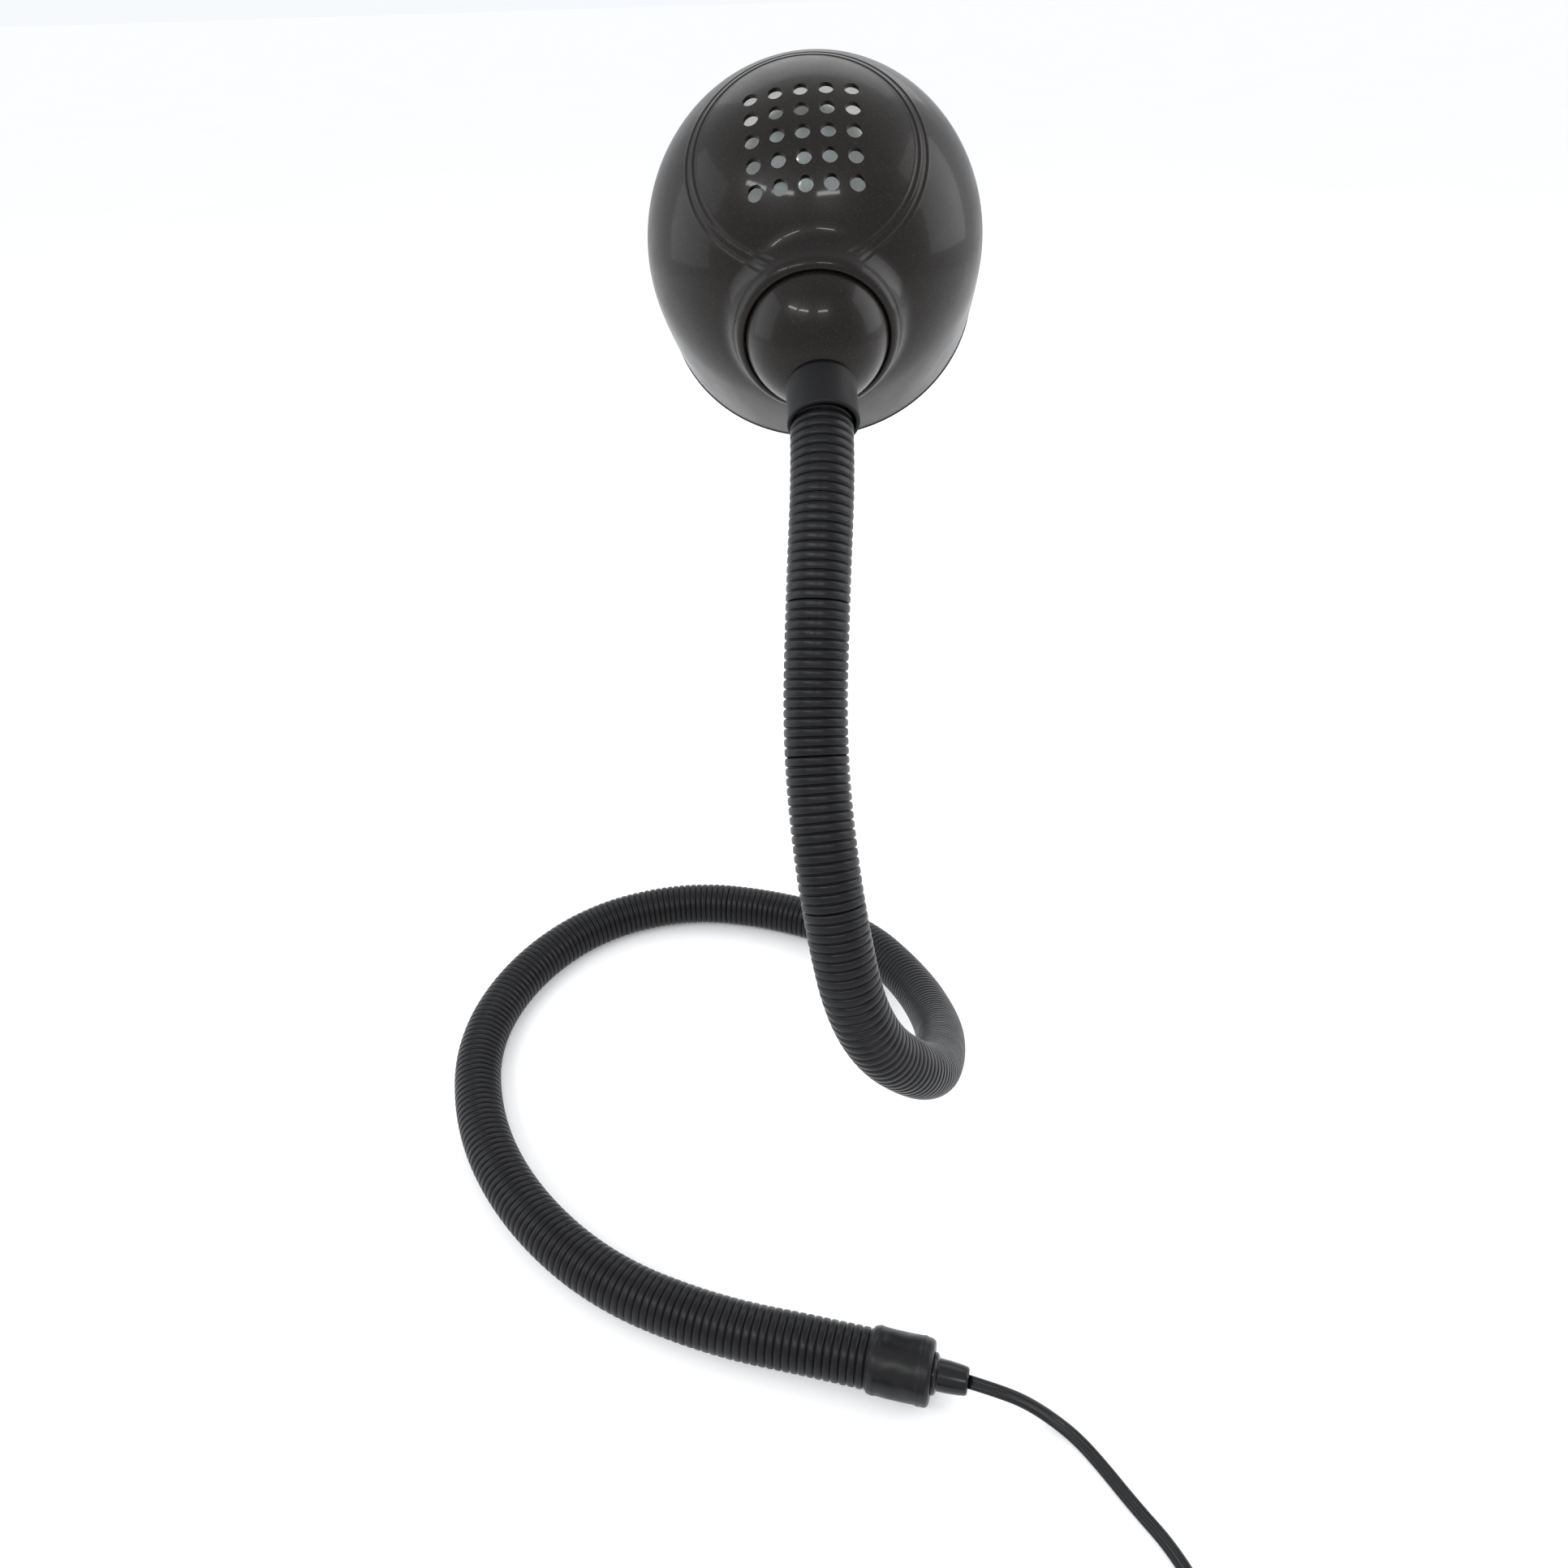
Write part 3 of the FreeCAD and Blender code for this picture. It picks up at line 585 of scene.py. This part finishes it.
def make_plug():
    """Moulded plug body that narrows towards its cord, in the box of the CAD's plug."""
    low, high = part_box("plug_body")
    middle_y, middle_z = (low.y + high.y) / 2, (low.z + high.z) / 2
    half_w, half_h = (high.y - low.y) / 2 / MM, (high.z - low.z) / 2 / MM
    long = high.x - low.x
    # Share of the plug's length, shares of its full width and thickness, and how square it is.
    stations = [
        (0.0, 0.93, 0.90, 5), (0.02, 0.98, 0.97, 5), (0.05, 1, 1, 5), (0.30, 1, 1, 5),
        (0.50, 0.99, 1, 4.5), (0.62, 0.88, 0.97, 4), (0.74, 0.68, 0.88, 3.5), (0.85, 0.50, 0.74, 3),
        (0.93, 0.42, 0.62, 2.6), (0.98, 0.40, 0.56, 2.5), (1.0, 0.37, 0.52, 2.4),
    ]
    sections = []
    for share, wide, thick, square in stations:
        centre = (low.x + share * long, middle_y, middle_z)
        half_a = half_w * wide
        half_b = half_h * thick
        sections.append(superellipse(centre, (0, 1, 0), (0, 0, 1), half_a, half_b, square))
    body = loft("plug_moulding", sections, CORD)
    finished(body, "base_end", "plug_pvc", "plug_body")
    return body


RELIEF_INSIDE = 4.0      # where the strain relief starts, from the cord's end inside the plug
RELIEF_LENGTH = 24.0
RELIEF_RINGS = 44
RELIEF_GROOVE = 0.55


def make_plug_tail(line):
    """Ribbed strain relief between the plug and the cord."""
    sections = []
    path = Line(line[::-1])
    for i in range(RELIEF_RINGS + 1):
        t = i / RELIEF_RINGS
        place, tangent, _, _ = path.at((RELIEF_INSIDE + t * RELIEF_LENGTH) * MM)
        step = Vector(tangent)
        ribbed = 3 < i < RELIEF_RINGS - 2
        groove = RELIEF_GROOVE if ribbed and (i // 3) % 2 else 0.0
        side = step.cross(Vector((0, 0, 1))).normalized()
        up = side.cross(step)
        half_a = 4.9 - 1.5 * t - groove
        half_b = 3.3 - 1.1 * t - groove
        sections.append(superellipse(place, side, up, half_a, half_b, 2.6, 32))
    obj = loft("plug_strain_relief", sections, CORD)
    return finished(obj, "base_end", "plug_pvc")


plug = make_plug()
plug_tail = make_plug_tail(cord_line)

# ---------------------------------------------------------------- flexible tube
TUBE_CORNERS = [
    (103, -177, 14.9),
    (61, -165, 14.0),
    (6, -151, 12.5),
    (-47, -127, 12.5),
    (-91, -87, 12.5),
    (-121, -38, 12.5),
    (-134, 21, 12.5),
    (-117, 78, 12.5),
    (-77, 122, 12.5),
    (-19, 140, 12.5),
    (38, 129, 12.5),
    (91, 102, 14),
    (119, 50, 22),
    (127, -3, 42),
    (120, -52, 74),
    (106, -97, 111),
    (75, -117, 160),
    (64, -100, 215),
    (59, -65, 262),
    (62, -34, 312),
    (67, 1, 359),
    (66, 49, 391),
]
JOINT_RUNS = [3, 7, 11, 12, 13, 14, 15, 16, 17, 18, 19]
LENGTH_NAMES = ["base_end", "base_side", "base_back"] + [f"neck_{i}" for i in range(1, 10)]
TUBE_R = 12.5
RIB_PITCH = 3.62
RIB_DEPTH = 1.15
SLEEVE_INNER_R = 9.2
RIB_SHAPE = [0.0, 0.05, 0.11, 0.19, 0.30, 0.42, 0.58, 0.70, 0.81, 0.89, 0.95]
TUBE_SIDES = 56

BALL_CENTRE = Vector(TUBE_CORNERS[-1]) * MM
NECK_AXIS = (Vector(TUBE_CORNERS[-1]) - Vector(TUBE_CORNERS[-2])).normalized()
END_DIRECTION = (Vector(TUBE_CORNERS[0]) - Vector(TUBE_CORNERS[1])).normalized()
SEAT = 30.5              # where the tube stops, before the ball's centre
SEAT_GAP = 0.6
STRAIGHT_END = 52.0      # length of tube before the ball's centre that is held straight
CAP_WALL = 3.0           # closed end of the cap, which the tube stands on


def tube_line():
    """Centre line of the tube, from its closed end to the ball's centre."""
    corners = [Vector(c) * MM for c in TUBE_CORNERS]
    straight = corners[-1] - NECK_AXIS * (STRAIGHT_END * MM)
    route = corners[:-2] + [straight, corners[-1]]
    return Line(spline_line(route, 40))


def ribbed_length(name, line, start, end):
    """Closed ribbed sleeve between two lengths along the line."""
    ribs = max(1, round((end - start) / (RIB_PITCH * MM)))
    pitch = (end - start) / ribs
    rings = []
    for rib in range(ribs):
        for share in RIB_SHAPE:
            out = TUBE_R - RIB_DEPTH * abs(2 * share - 1) ** 4.5
            rings.append((start + (rib + share) * pitch, out))
    rings.append((end, TUBE_R - RIB_DEPTH))
    inner = [(start + k * pitch, SLEEVE_INNER_R) for k in range(ribs, -1, -1)]
    vertices = []
    turn = [2 * math.pi * j / TUBE_SIDES for j in range(TUBE_SIDES)]
    for s, radius in rings + inner:
        place, _, side, up = line.at(s)
        for a in turn:
            vertices.append(place + (side * math.cos(a) + up * math.sin(a)) * (radius * MM))
    faces = ring_faces(len(rings) + len(inner), TUBE_SIDES, True)
    obj = add_object(name, vertices, faces, SLEEVE)
    face_outwards(obj)
    return obj


def make_tube():
    """One ribbed sleeve round each bending point, from halfway after the bending point before it to halfway
    before the next; the CAD sleeves are hidden.
    """
    line = tube_line()
    corners = [Vector(c) * MM for c in TUBE_CORNERS]
    joints = [(corners[k] + corners[k + 1]) / 2 for k in JOINT_RUNS]
    stations = [line.nearest(j) for j in joints]
    tube_start = CAP_WALL * MM
    tube_end = line.length - (SEAT - SEAT_GAP) * MM
    ends = [tube_start] + [(a + b) / 2 for a, b in zip(stations, stations[1:])] + [tube_end]
    for i, station in enumerate(stations):
        name = f"ribbed_sleeve_{i + 1:02d}"
        piece = ribbed_length(name, line, ends[i], ends[i + 1])
        place, tangent, _, _ = line.at(station)
        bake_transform(piece)
        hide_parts(f"sleeve_{LENGTH_NAMES[i]}")
        if i == len(stations) - 1:
            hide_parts(f"sleeve_{LENGTH_NAMES[i + 1]}")


make_tube()

# ---------------------------------------------------------------- closed end of the tube
CAP_R = 14.3
CAP_LENGTH = 27.0
CAP_HOLE_R = 3.1         # hole that the gland sits over
CAP_FACE_R = 11.6        # flat part of the closed face
CAP_ROUND = 2.3          # radius of the edge round the face


def make_end_cap():
    """Soft vinyl cap, slightly lumpy, with a raised band near its mouth and its face."""
    outline = [(CAP_HOLE_R, 0), (CAP_FACE_R, 0)]
    for i in range(9):
        a = math.pi / 2 * i / 8
        outline.append((CAP_FACE_R + CAP_ROUND * math.sin(a), -CAP_ROUND + CAP_ROUND * math.cos(a)))
    for i in range(1, 30):
        h = -CAP_ROUND - (CAP_LENGTH - 3.6) * i / 30
        bands = 0.35 * math.exp(-((h + 4.6) / 0.8) ** 2) + 0.4 * math.exp(-((h + 24.2) / 0.9) ** 2)
        outline.append((CAP_R - 0.4 + bands, h))
    outline += [(CAP_R - 0.45, -CAP_LENGTH + 0.8), (CAP_R - 0.9, -CAP_LENGTH), (12.7, -CAP_LENGTH)]
    outline += [(12.55, -26), (12.55, -CAP_WALL), (CAP_HOLE_R, -CAP_WALL)]
    foot = Vector(TUBE_CORNERS[0]) * MM
    axis = END_DIRECTION
    obj = lathe("tube_end_cap", outline, foot, axis, VINYL, 96)
    for vertex in obj.data.vertices:
        away = vertex.co - foot
        radial = away - axis * away.dot(axis)
        if radial.length > 12.9 * MM:
            a = math.atan2(radial.z, radial.cross(axis).z + 1e-9)
            height = away.dot(axis)
            lump = 0.16 * math.sin(3 * a + height * 420) + 0.10 * math.sin(5 * a - height * 700)
            vertex.co -= radial.normalized() * ((0.26 + lump) * 0.5 * MM)
    return finished(obj, "base_end", "soft_vinyl", "end_cap")


def make_gland():
    """Stiff gland with a flange, tapering towards the cord."""
    outline = [(3.3, 0), (8.6, 0), (8.6, 1.1), (8.0, 1.9), (6.6, 2.5), (6.5, 7.0), (6.1, 12.0), (5.7, 14.6),
               (5.1, 15.4), (3.3, 15.4)]
    foot = Vector(TUBE_CORNERS[0]) * MM
    obj = lathe("cord_gland_turned", rounded(outline, 0.4), foot, END_DIRECTION, GLAND, 72)
    return finished(obj, "base_end", "gland_plastic", "cord_gland")


make_end_cap()
make_gland()

# ---------------------------------------------------------------- head
BALL_R = 29.3
BALL_WALL = 2.0
BALL_EDGE = 18.0         # distance past the ball's centre at which it is cut open
BALL_INNER_EDGE = 17.4   # and at which the cut's inner edge lies
HUB_EDGE = 0.42          # radians from the neck axis at which the ball's inside meets its hub
BULB_R = 29.5
BULB_CENTRE = 81.0
GLASS_WALL = 1.0
SOCKET_R = 29.6          # bore of the socket, which clears the ball
SHADE_R = 73.0
SHADE_IN = 71.0
SHADE_SKIRT = 38.0
SHADE_MOUTH_R = 70.5
RIM_START = 36.6         # depth below the equator at which the rounded rim starts outside
RIM_INSIDE = 36.4        # and at which it ends inside
VENT_R = 3.0
VENT_PITCH = 9.8
VENTS_ACROSS = 5
GROOVE_ANGLES = (37.0, 40.2)   # degrees from the crown's axis
GROOVE_DEPTH = 0.4
GROOVE_HALF = 0.62
GROOVE_SHOULDER = 0.09   # how far the plastic swells beside a groove
FINE_START = 35.4        # degrees from the crown's axis between which the outline is finely
FINE_END = 48.0          # stepped, because the grooves lie there
FINE_STEP = 0.17
COARSE_STEP = 1.5
TURN = Matrix.Rotation(math.radians(-5), 3, NECK_AXIS)
SHADE_MIDDLE = BALL_CENTRE + TURN @ (Vector((66, 116, 410.5)) * MM - BALL_CENTRE)
CROWN_AXIS = TURN @ Vector((0, -math.cos(math.radians(43)), math.sin(math.radians(43))))
SHADE_SIDE = TURN @ Vector((1, 0, 0))
SOCKET_AXIS = (BALL_CENTRE - SHADE_MIDDLE).normalized()
SOCKET_AWAY = (BALL_CENTRE - SHADE_MIDDLE).length / MM
SOCKET_EDGE = 33.0       # degrees from the socket's axis at which its fillet meets the shell
SHELL_CUT = 31.4         # degrees from the same axis at which the shell is cut for the socket
CUT_NEAR = 20            # the cone that makes that cut, from the shade's middle
CUT_FAR = 100
VENT_CUT = (45, 85)      # the bars that cut the vents, from the shade's middle
LIP_FOOT = (33.4, 0.6)   # where the fillet meets the lip, from the ball's centre
FILLET_PULLS = (4.2, 4.6)
FILLET_STEPS = 44
NORMAL_REACH = 1.4       # farthest from the outline that a vertex takes the outline's normal


def groove(angle):
    """Depth of the two decorative grooves at an angle from the crown's axis."""
    depth = 0.0
    for middle in GROOVE_ANGLES:
        off = math.radians(angle - middle) * SHADE_R / GROOVE_HALF
        depth += GROOVE_DEPTH * math.exp(-off * off)
        depth -= GROOVE_SHOULDER * math.exp(-((abs(off) - 2.0) / 0.8) ** 2)
    return depth


def skirt_r(depth, radius):
    """Radius of the skirt at a depth below the crown's equator."""
    return radius - (SHADE_R - SHADE_MOUTH_R) * (depth / SHADE_SKIRT) ** 1.6


def shell_outline():
    """Outline of the shell: crown, skirt, rounded rim and inside, in the crown's frame."""
    angles = [COARSE_STEP * i for i in range(24)]
    angles += [FINE_START + FINE_STEP * i for i in range(70)]
    angles += [FINE_END + COARSE_STEP * i for i in range(29)]
    outer = []
    for angle in angles:
        r = SHADE_R - groove(angle)
        outer.append((r * math.sin(math.radians(angle)), r * math.cos(math.radians(angle))))
    for i in range(25):
        depth = RIM_START * i / 24
        outer.append((skirt_r(depth, SHADE_R), -depth))
    rim_r = SHADE_MOUTH_R - 0.9
    for i in range(13):
        a = math.pi * i / 12
        outer.append((rim_r + 1.35 * math.cos(a) + 0.1, -36.9 - 1.1 * math.sin(a)))
    inner = []
    for i in range(13):
        depth = RIM_INSIDE * (1 - i / 12)
        inner.append((skirt_r(depth, SHADE_IN), -depth))
    for i in range(1, 46):
        angle = math.radians(90 - 2 * i)
        inner.append((SHADE_IN * math.sin(angle), SHADE_IN * math.cos(angle)))
    return outer, inner


def outline_normals(outline):
    """Outward (radius, height) normals of an outline that runs from the crown down."""
    points = np.array(outline)
    tangent = np.gradient(points, axis=0)
    normal = np.stack([-tangent[:, 1], tangent[:, 0]], axis=1)
    normal /= np.maximum(np.linalg.norm(normal, axis=1)[:, None], 1e-12)
    return points, normal


def set_smooth_normals(obj, outline, origin, axis, limit=32.0):
    """Gives the turned surface its exact normals again after holes have been cut in it."""
    points, normals = outline_normals(outline)
    z = np.array(axis)
    mesh = obj.data
    co = np.empty(len(mesh.vertices) * 3)
    mesh.vertices.foreach_get("co", co)
    away = co.reshape(-1, 3) - np.array(origin)
    height = away @ z
    radial = away - height[:, None] * z
    radius = np.linalg.norm(radial, axis=1)
    unit = radial / np.maximum(radius, 1e-9)[:, None]
    here = np.stack([radius, height], axis=1) / MM
    nearest = np.array([((points - p) ** 2).sum(1).argmin() for p in here])
    gap = np.sqrt(((points[nearest] - here) ** 2).sum(1))
    found = normals[nearest]
    exact = unit * found[:, :1] + z * found[:, 1:]
    exact[radius < 1e-6] = z
    loops = []
    least = math.cos(math.radians(limit))
    for polygon in mesh.polygons:
        own = np.array(polygon.normal)
        for v in polygon.vertices:
            good = exact[v].dot(own) > least and gap[v] < NORMAL_REACH
            loops.append(tuple(exact[v]) if good else tuple(own))
    mesh.normals_split_custom_set(loops)


def rod(name, origin, axis, radius, start, end, top_radius=None, sides=40):
    """Plain tapered bar that is only used to cut other pieces."""
    x, y, z = basis(axis, SHADE_SIDE)
    vertices = []
    for h, r in ((start, radius), (end, top_radius or radius)):
        for j in range(sides):
            a = 2 * math.pi * j / sides
            vertices.append(Vector(origin) + z * (h * MM) + (x * math.cos(a) + y * math.sin(a)) * (r * MM))
    obj = add_object(name, vertices, ring_faces(2, sides, False, True, True))
    face_outwards(obj)
    return obj


def make_shell():
    outer, inner = shell_outline()
    shell = lathe("shade_moulding", outer + inner, SHADE_MIDDLE, CROWN_AXIS, SHADE, 288, SHADE_SIDE)
    shell.modifiers.clear()
    shell.data.materials.append(LINING)
    x, y, z = basis(CROWN_AXIS, SHADE_SIDE)
    cutters = []
    first = -(VENTS_ACROSS - 1) / 2 * VENT_PITCH
    for column in range(VENTS_ACROSS):
        for row in range(VENTS_ACROSS):
            foot = SHADE_MIDDLE + (x * (first + column * VENT_PITCH) + y * (first + row * VENT_PITCH)) * MM
            cutters.append(rod(f"vent_{column}_{row}", foot, z, VENT_R, *VENT_CUT))
    wide = CUT_FAR * math.tan(math.radians(SHELL_CUT))
    narrow = CUT_NEAR / CUT_FAR * wide
    cutters.append(rod("socket_cut", SHADE_MIDDLE, SOCKET_AXIS, narrow, CUT_NEAR, CUT_FAR, wide, 160))
    cut(shell, cutters)
    set_smooth_normals(shell, outer + inner, SHADE_MIDDLE, CROWN_AXIS)
    for polygon in shell.data.polygons:
        away = polygon.center - SHADE_MIDDLE
        height = away.dot(CROWN_AXIS) / MM
        radius = (away - CROWN_AXIS * away.dot(CROWN_AXIS)).length / MM
        if height > 0:
            wall = math.hypot(radius, height)
        else:
            wall = radius + SHADE_IN - skirt_r(min(-height, SHADE_SKIRT), SHADE_IN)
        inside = wall < SHADE_IN + 0.25 and polygon.normal.dot(away) < 0 and height > -RIM_INSIDE
        polygon.material_index = 1 if inside else 0
    return finished(shell, "shade", "shade_plastic", "shade_shell")


def socket_outline():
    """Outline round the socket's axis, heights from the ball's centre: fillet, lip, bore and back."""
    edge = math.radians(SOCKET_EDGE)
    meet = (SHADE_R * math.sin(edge), SHADE_R * math.cos(edge) - SOCKET_AWAY)
    out = math.radians(SOCKET_EDGE + 1.6)
    outline = [((SHADE_R - 0.35) * math.sin(out), (SHADE_R - 0.35) * math.cos(out) - SOCKET_AWAY)]
    along = Vector((-math.cos(edge), math.sin(edge)))
    start = Vector(meet)
    end = Vector(LIP_FOOT)
    pull_a = start + along * FILLET_PULLS[0]
    pull_b = end + Vector((0.35, -1.0)).normalized() * FILLET_PULLS[1]
    for i in range(FILLET_STEPS + 1):
        t = i / FILLET_STEPS
        outline.append(bezier(start, pull_a, pull_b, end, t))
    outline += [(33.2, 2.4), (32.85, 4.1), (32.2, 5.5), (31.3, 6.5), (30.4, 7.0), (29.7, 7.15)]
    outline += [(29.2, 7.0), (28.95, 6.7)]
    for h in (5.5, 3.5, 1.5, 0.0, -2.0, -4.0, -6.2):
        outline.append((math.sqrt(SOCKET_R ** 2 - h * h), h))
    back = math.radians(SOCKET_EDGE + 1.0)
    outline.append((31.6, -7.2))
    outline.append(((SHADE_IN - 0.4) * math.sin(back), (SHADE_IN - 0.4) * math.cos(back) - SOCKET_AWAY))
    outline.append(((SHADE_IN + 0.5) * math.sin(out), (SHADE_IN + 0.5) * math.cos(out) - SOCKET_AWAY))
    return outline


def make_socket():
    """Wall of the shade that sweeps up round the ball and ends in a rounded lip."""
    outline = socket_outline()
    socket = lathe("shade_socket_lip", outline, BALL_CENTRE, SOCKET_AXIS, SHADE, 720, SHADE_SIDE)
    socket.modifiers.clear()
    for vertex in socket.data.vertices:
        away = vertex.co - BALL_CENTRE
        height = away.dot(SOCKET_AXIS) / MM
        radius = (away - SOCKET_AXIS * away.dot(SOCKET_AXIS)).length / MM
        if height < -12.0 or radius < 33.3 or height > 2.0:
            continue
        ray = vertex.co - SHADE_MIDDLE
        if ray.length < (SHADE_IN + 1.6) * MM:
            continue
        fade = min(1.0, max(0.0, (radius - 33.3) / 1.2))
        depth = groove(math.degrees(ray.angle(CROWN_AXIS))) * fade
        if depth:
            vertex.co -= ray.normalized() * (depth * MM)
    return finished(socket, "shade", "shade_plastic", "shade_socket")


def make_ball():
    """Ball that the shade tilts on, cut open inside the shade."""
    outline = [(5.2, -28.9)]
    start = math.asin(5.6 / BALL_R)
    end = math.pi - math.acos(BALL_EDGE / BALL_R)
    for i in range(81):
        a = start + (end - start) * i / 80
        outline.append((BALL_R * math.sin(a), -BALL_R * math.cos(a)))
    inner = BALL_R - BALL_WALL
    edge = math.pi - math.acos(BALL_INNER_EDGE / inner)
    for i in range(41):
        a = edge + (HUB_EDGE - edge) * i / 40
        outline.append((inner * math.sin(a), -inner * math.cos(a)))
    outline += [(10.0, -22.5), (10.0, -20.0), (5.2, -20.0)]
    obj = lathe("swivel_ball_turned", outline, BALL_CENTRE, NECK_AXIS, SHADE, 192)
    return finished(obj, "ball", "shade_plastic", "swivel_ball")


def make_collar():
    """Sleeve over the end of the tube; its top is hollowed to sit near the ball."""
    outline = [(12.62, -46.0), (14.0, -46.0), (14.35, -45.4), (14.3, -44.0), (14.05, -41.0), (14.0, -30.0),
               (14.0, -27.8), (13.6, -26.7), (12.7, -26.45), (11.4, -27.1), (9.0, -28.0), (5.2, -29.1),
               (5.2, -29.9), (12.62, -29.9)]
    obj = lathe("neck_collar_sleeve", rounded(outline, 0.35), BALL_CENTRE, NECK_AXIS, COLLAR, 96)
    return finished(obj, "neck_9", "ribbed_sleeve", "neck_collar")


def make_holder():
    """Lamp holder: a skirt with thread-like ribs, and the cap behind it."""
    skirt = [(19.5, 10.2)]
    ribs = 9
    for k in range(ribs):
        foot = 11.5 + k * 2.9
        skirt += [(19.5, foot), (19.15, foot + 0.35), (19.15, foot + 0.85), (19.5, foot + 1.2)]
    skirt += [(19.5, 39.4), (19.0, 40.0), (17.9, 40.0), (17.5, 39.6), (17.5, 10.2)]
    obj = lathe("holder_skirt_threaded", skirt, BALL_CENTRE, NECK_AXIS, PHENOLIC, 96)
    finished(obj, "neck_9", "phenolic", "lamp_holder_skirt")
    cap = [(5.05, -14.5), (11.4, -14.5), (12.2, -13.6), (18.9, 3.0), (19.5, 4.6), (19.5, 9.6),
           (19.2, 10.0), (17.5, 10.0), (17.5, 5.0), (10.0, -11.5), (5.05, -11.5)]
    obj = lathe("holder_cap_turned", rounded(cap, 0.5), BALL_CENTRE, NECK_AXIS, PHENOLIC, 96)
    finished(obj, "neck_9", "phenolic", "lamp_holder_cap")


def make_bulb():
    """Round opal bulb; its neck runs down into the lamp cap."""
    outline = [(13.2, 33.2), (14.1, 33.4), (14.45, 34.5), (14.5, 40.0), (14.55, 43.0)]
    centre = BULB_CENTRE
    radius = BULB_R
    hollow = BULB_R - GLASS_WALL
    join = math.radians(128)
    meet = Vector((radius * math.sin(join), centre + radius * math.cos(join)))
    start = Vector((14.55, 43.5))
    pull_a = start + Vector((0.0, 4.6))
    pull_b = meet - Vector((-math.cos(join), math.sin(join))) * 6.5
    for i in range(1, 13):
        t = i / 12
        outline.append(bezier(start, pull_a, pull_b, meet, t))
    for i in range(1, 65):
        a = join * (1 - i / 64)
        outline.append((radius * math.sin(a), centre + radius * math.cos(a)))
    for i in range(49):
        a = math.radians(122) * i / 48
        outline.append((hollow * math.sin(a), centre + hollow * math.cos(a)))
    outline += [(13.6, 52.0), (13.4, 44.0), (13.3, 34.2)]
    obj = lathe("opal_bulb", outline, BALL_CENTRE, NECK_AXIS, GLASS, 128)
    return finished(obj, "neck_9", "opal_glass", "bulb_glass")


paint_frame_nodes()
make_shell()
make_socket()
make_ball()
make_collar()
make_holder()
make_bulb()


# ---------------------------------------------------------------- stage
FLOOR_SIZE = 60.0        # metres from the middle to each side
WORLD_COLOUR = (0.95, 0.97, 1.0, 1)
WORLD_STRENGTH = 0.98
STRIP_TURNS = (-50, -26, 12)   # degrees round the ball from the camera's side
STRIP_UP = 42            # degrees above level
STRIP_AWAY = 1.7         # metres from the ball
STRIP_LENGTH = 0.42
STRIP_WIDTH = 0.07
STRIP_POWER = 4.0


def make_floor():
    """Pale paper that glows a little, so that it stays white far off."""
    size = FLOOR_SIZE
    corners = [(-size, -size, 0), (size, -size, 0), (size, size, 0), (-size, size, 0)]
    floor = add_object("floor", corners, [(0, 1, 2, 3)])
    material, tree, shader = new_material("floor_paper", Roughness=0.9, Specular_IOR_Level=0.1,
                                          Emission_Color=(1, 1, 1, 1), Emission_Strength=0.12)
    paper = ramp(tree, noise(tree, 3, 3), [(0.3, grey(0.90)), (0.7, grey(0.92))])
    tree.links.new(paper, shader.inputs["Base Color"])
    floor.data.materials.append(material)


def area_light(name, place, target, width, height, power, colour=(1, 1, 1)):
    data = bpy.data.lights.new(name, "AREA")
    data.shape = "RECTANGLE"
    data.size = width
    data.size_y = height
    data.energy = power
    data.color = colour
    light = bpy.data.objects.new(name, data)
    bpy.context.collection.objects.link(light)
    light.location = place
    light.rotation_euler = (Vector(target) - Vector(place)).to_track_quat("-Z", "Y").to_euler()


def make_lights():
    """White surroundings, three soft boxes, and three strips that draw the streaks on the gloss."""
    world = bpy.data.worlds.new("studio")
    world.use_nodes = True
    world.node_tree.nodes["Background"].inputs["Color"].default_value = WORLD_COLOUR
    world.node_tree.nodes["Background"].inputs["Strength"].default_value = WORLD_STRENGTH
    bpy.context.scene.world = world
    head = tuple(SHADE_MIDDLE)
    area_light("left_box", (-1.7, 0.25, 0.9), head, 1.3, 1.5, 9, (0.93, 0.97, 1.0))
    area_light("right_box", (1.7, 0.35, 1.0), head, 1.3, 1.5, 13)
    area_light("back_box", (0.1, 1.7, 1.7), head, 2.2, 1.2, 10)
    ahead = Vector(CAMERA_PLACE) - BALL_CENTRE
    start = math.atan2(ahead.x, -ahead.y)
    for i, turn in enumerate(STRIP_TURNS):
        a = start + math.radians(turn)
        up = math.radians(STRIP_UP)
        direction = Vector((math.sin(a) * math.cos(up), -math.cos(a) * math.cos(up), math.sin(up)))
        place = BALL_CENTRE + direction * STRIP_AWAY
        area_light(f"strip_{i}", tuple(place), tuple(BALL_CENTRE), STRIP_LENGTH, STRIP_WIDTH, STRIP_POWER)


make_floor()
make_lights()
bpy.context.scene.view_settings.view_transform = "Standard"
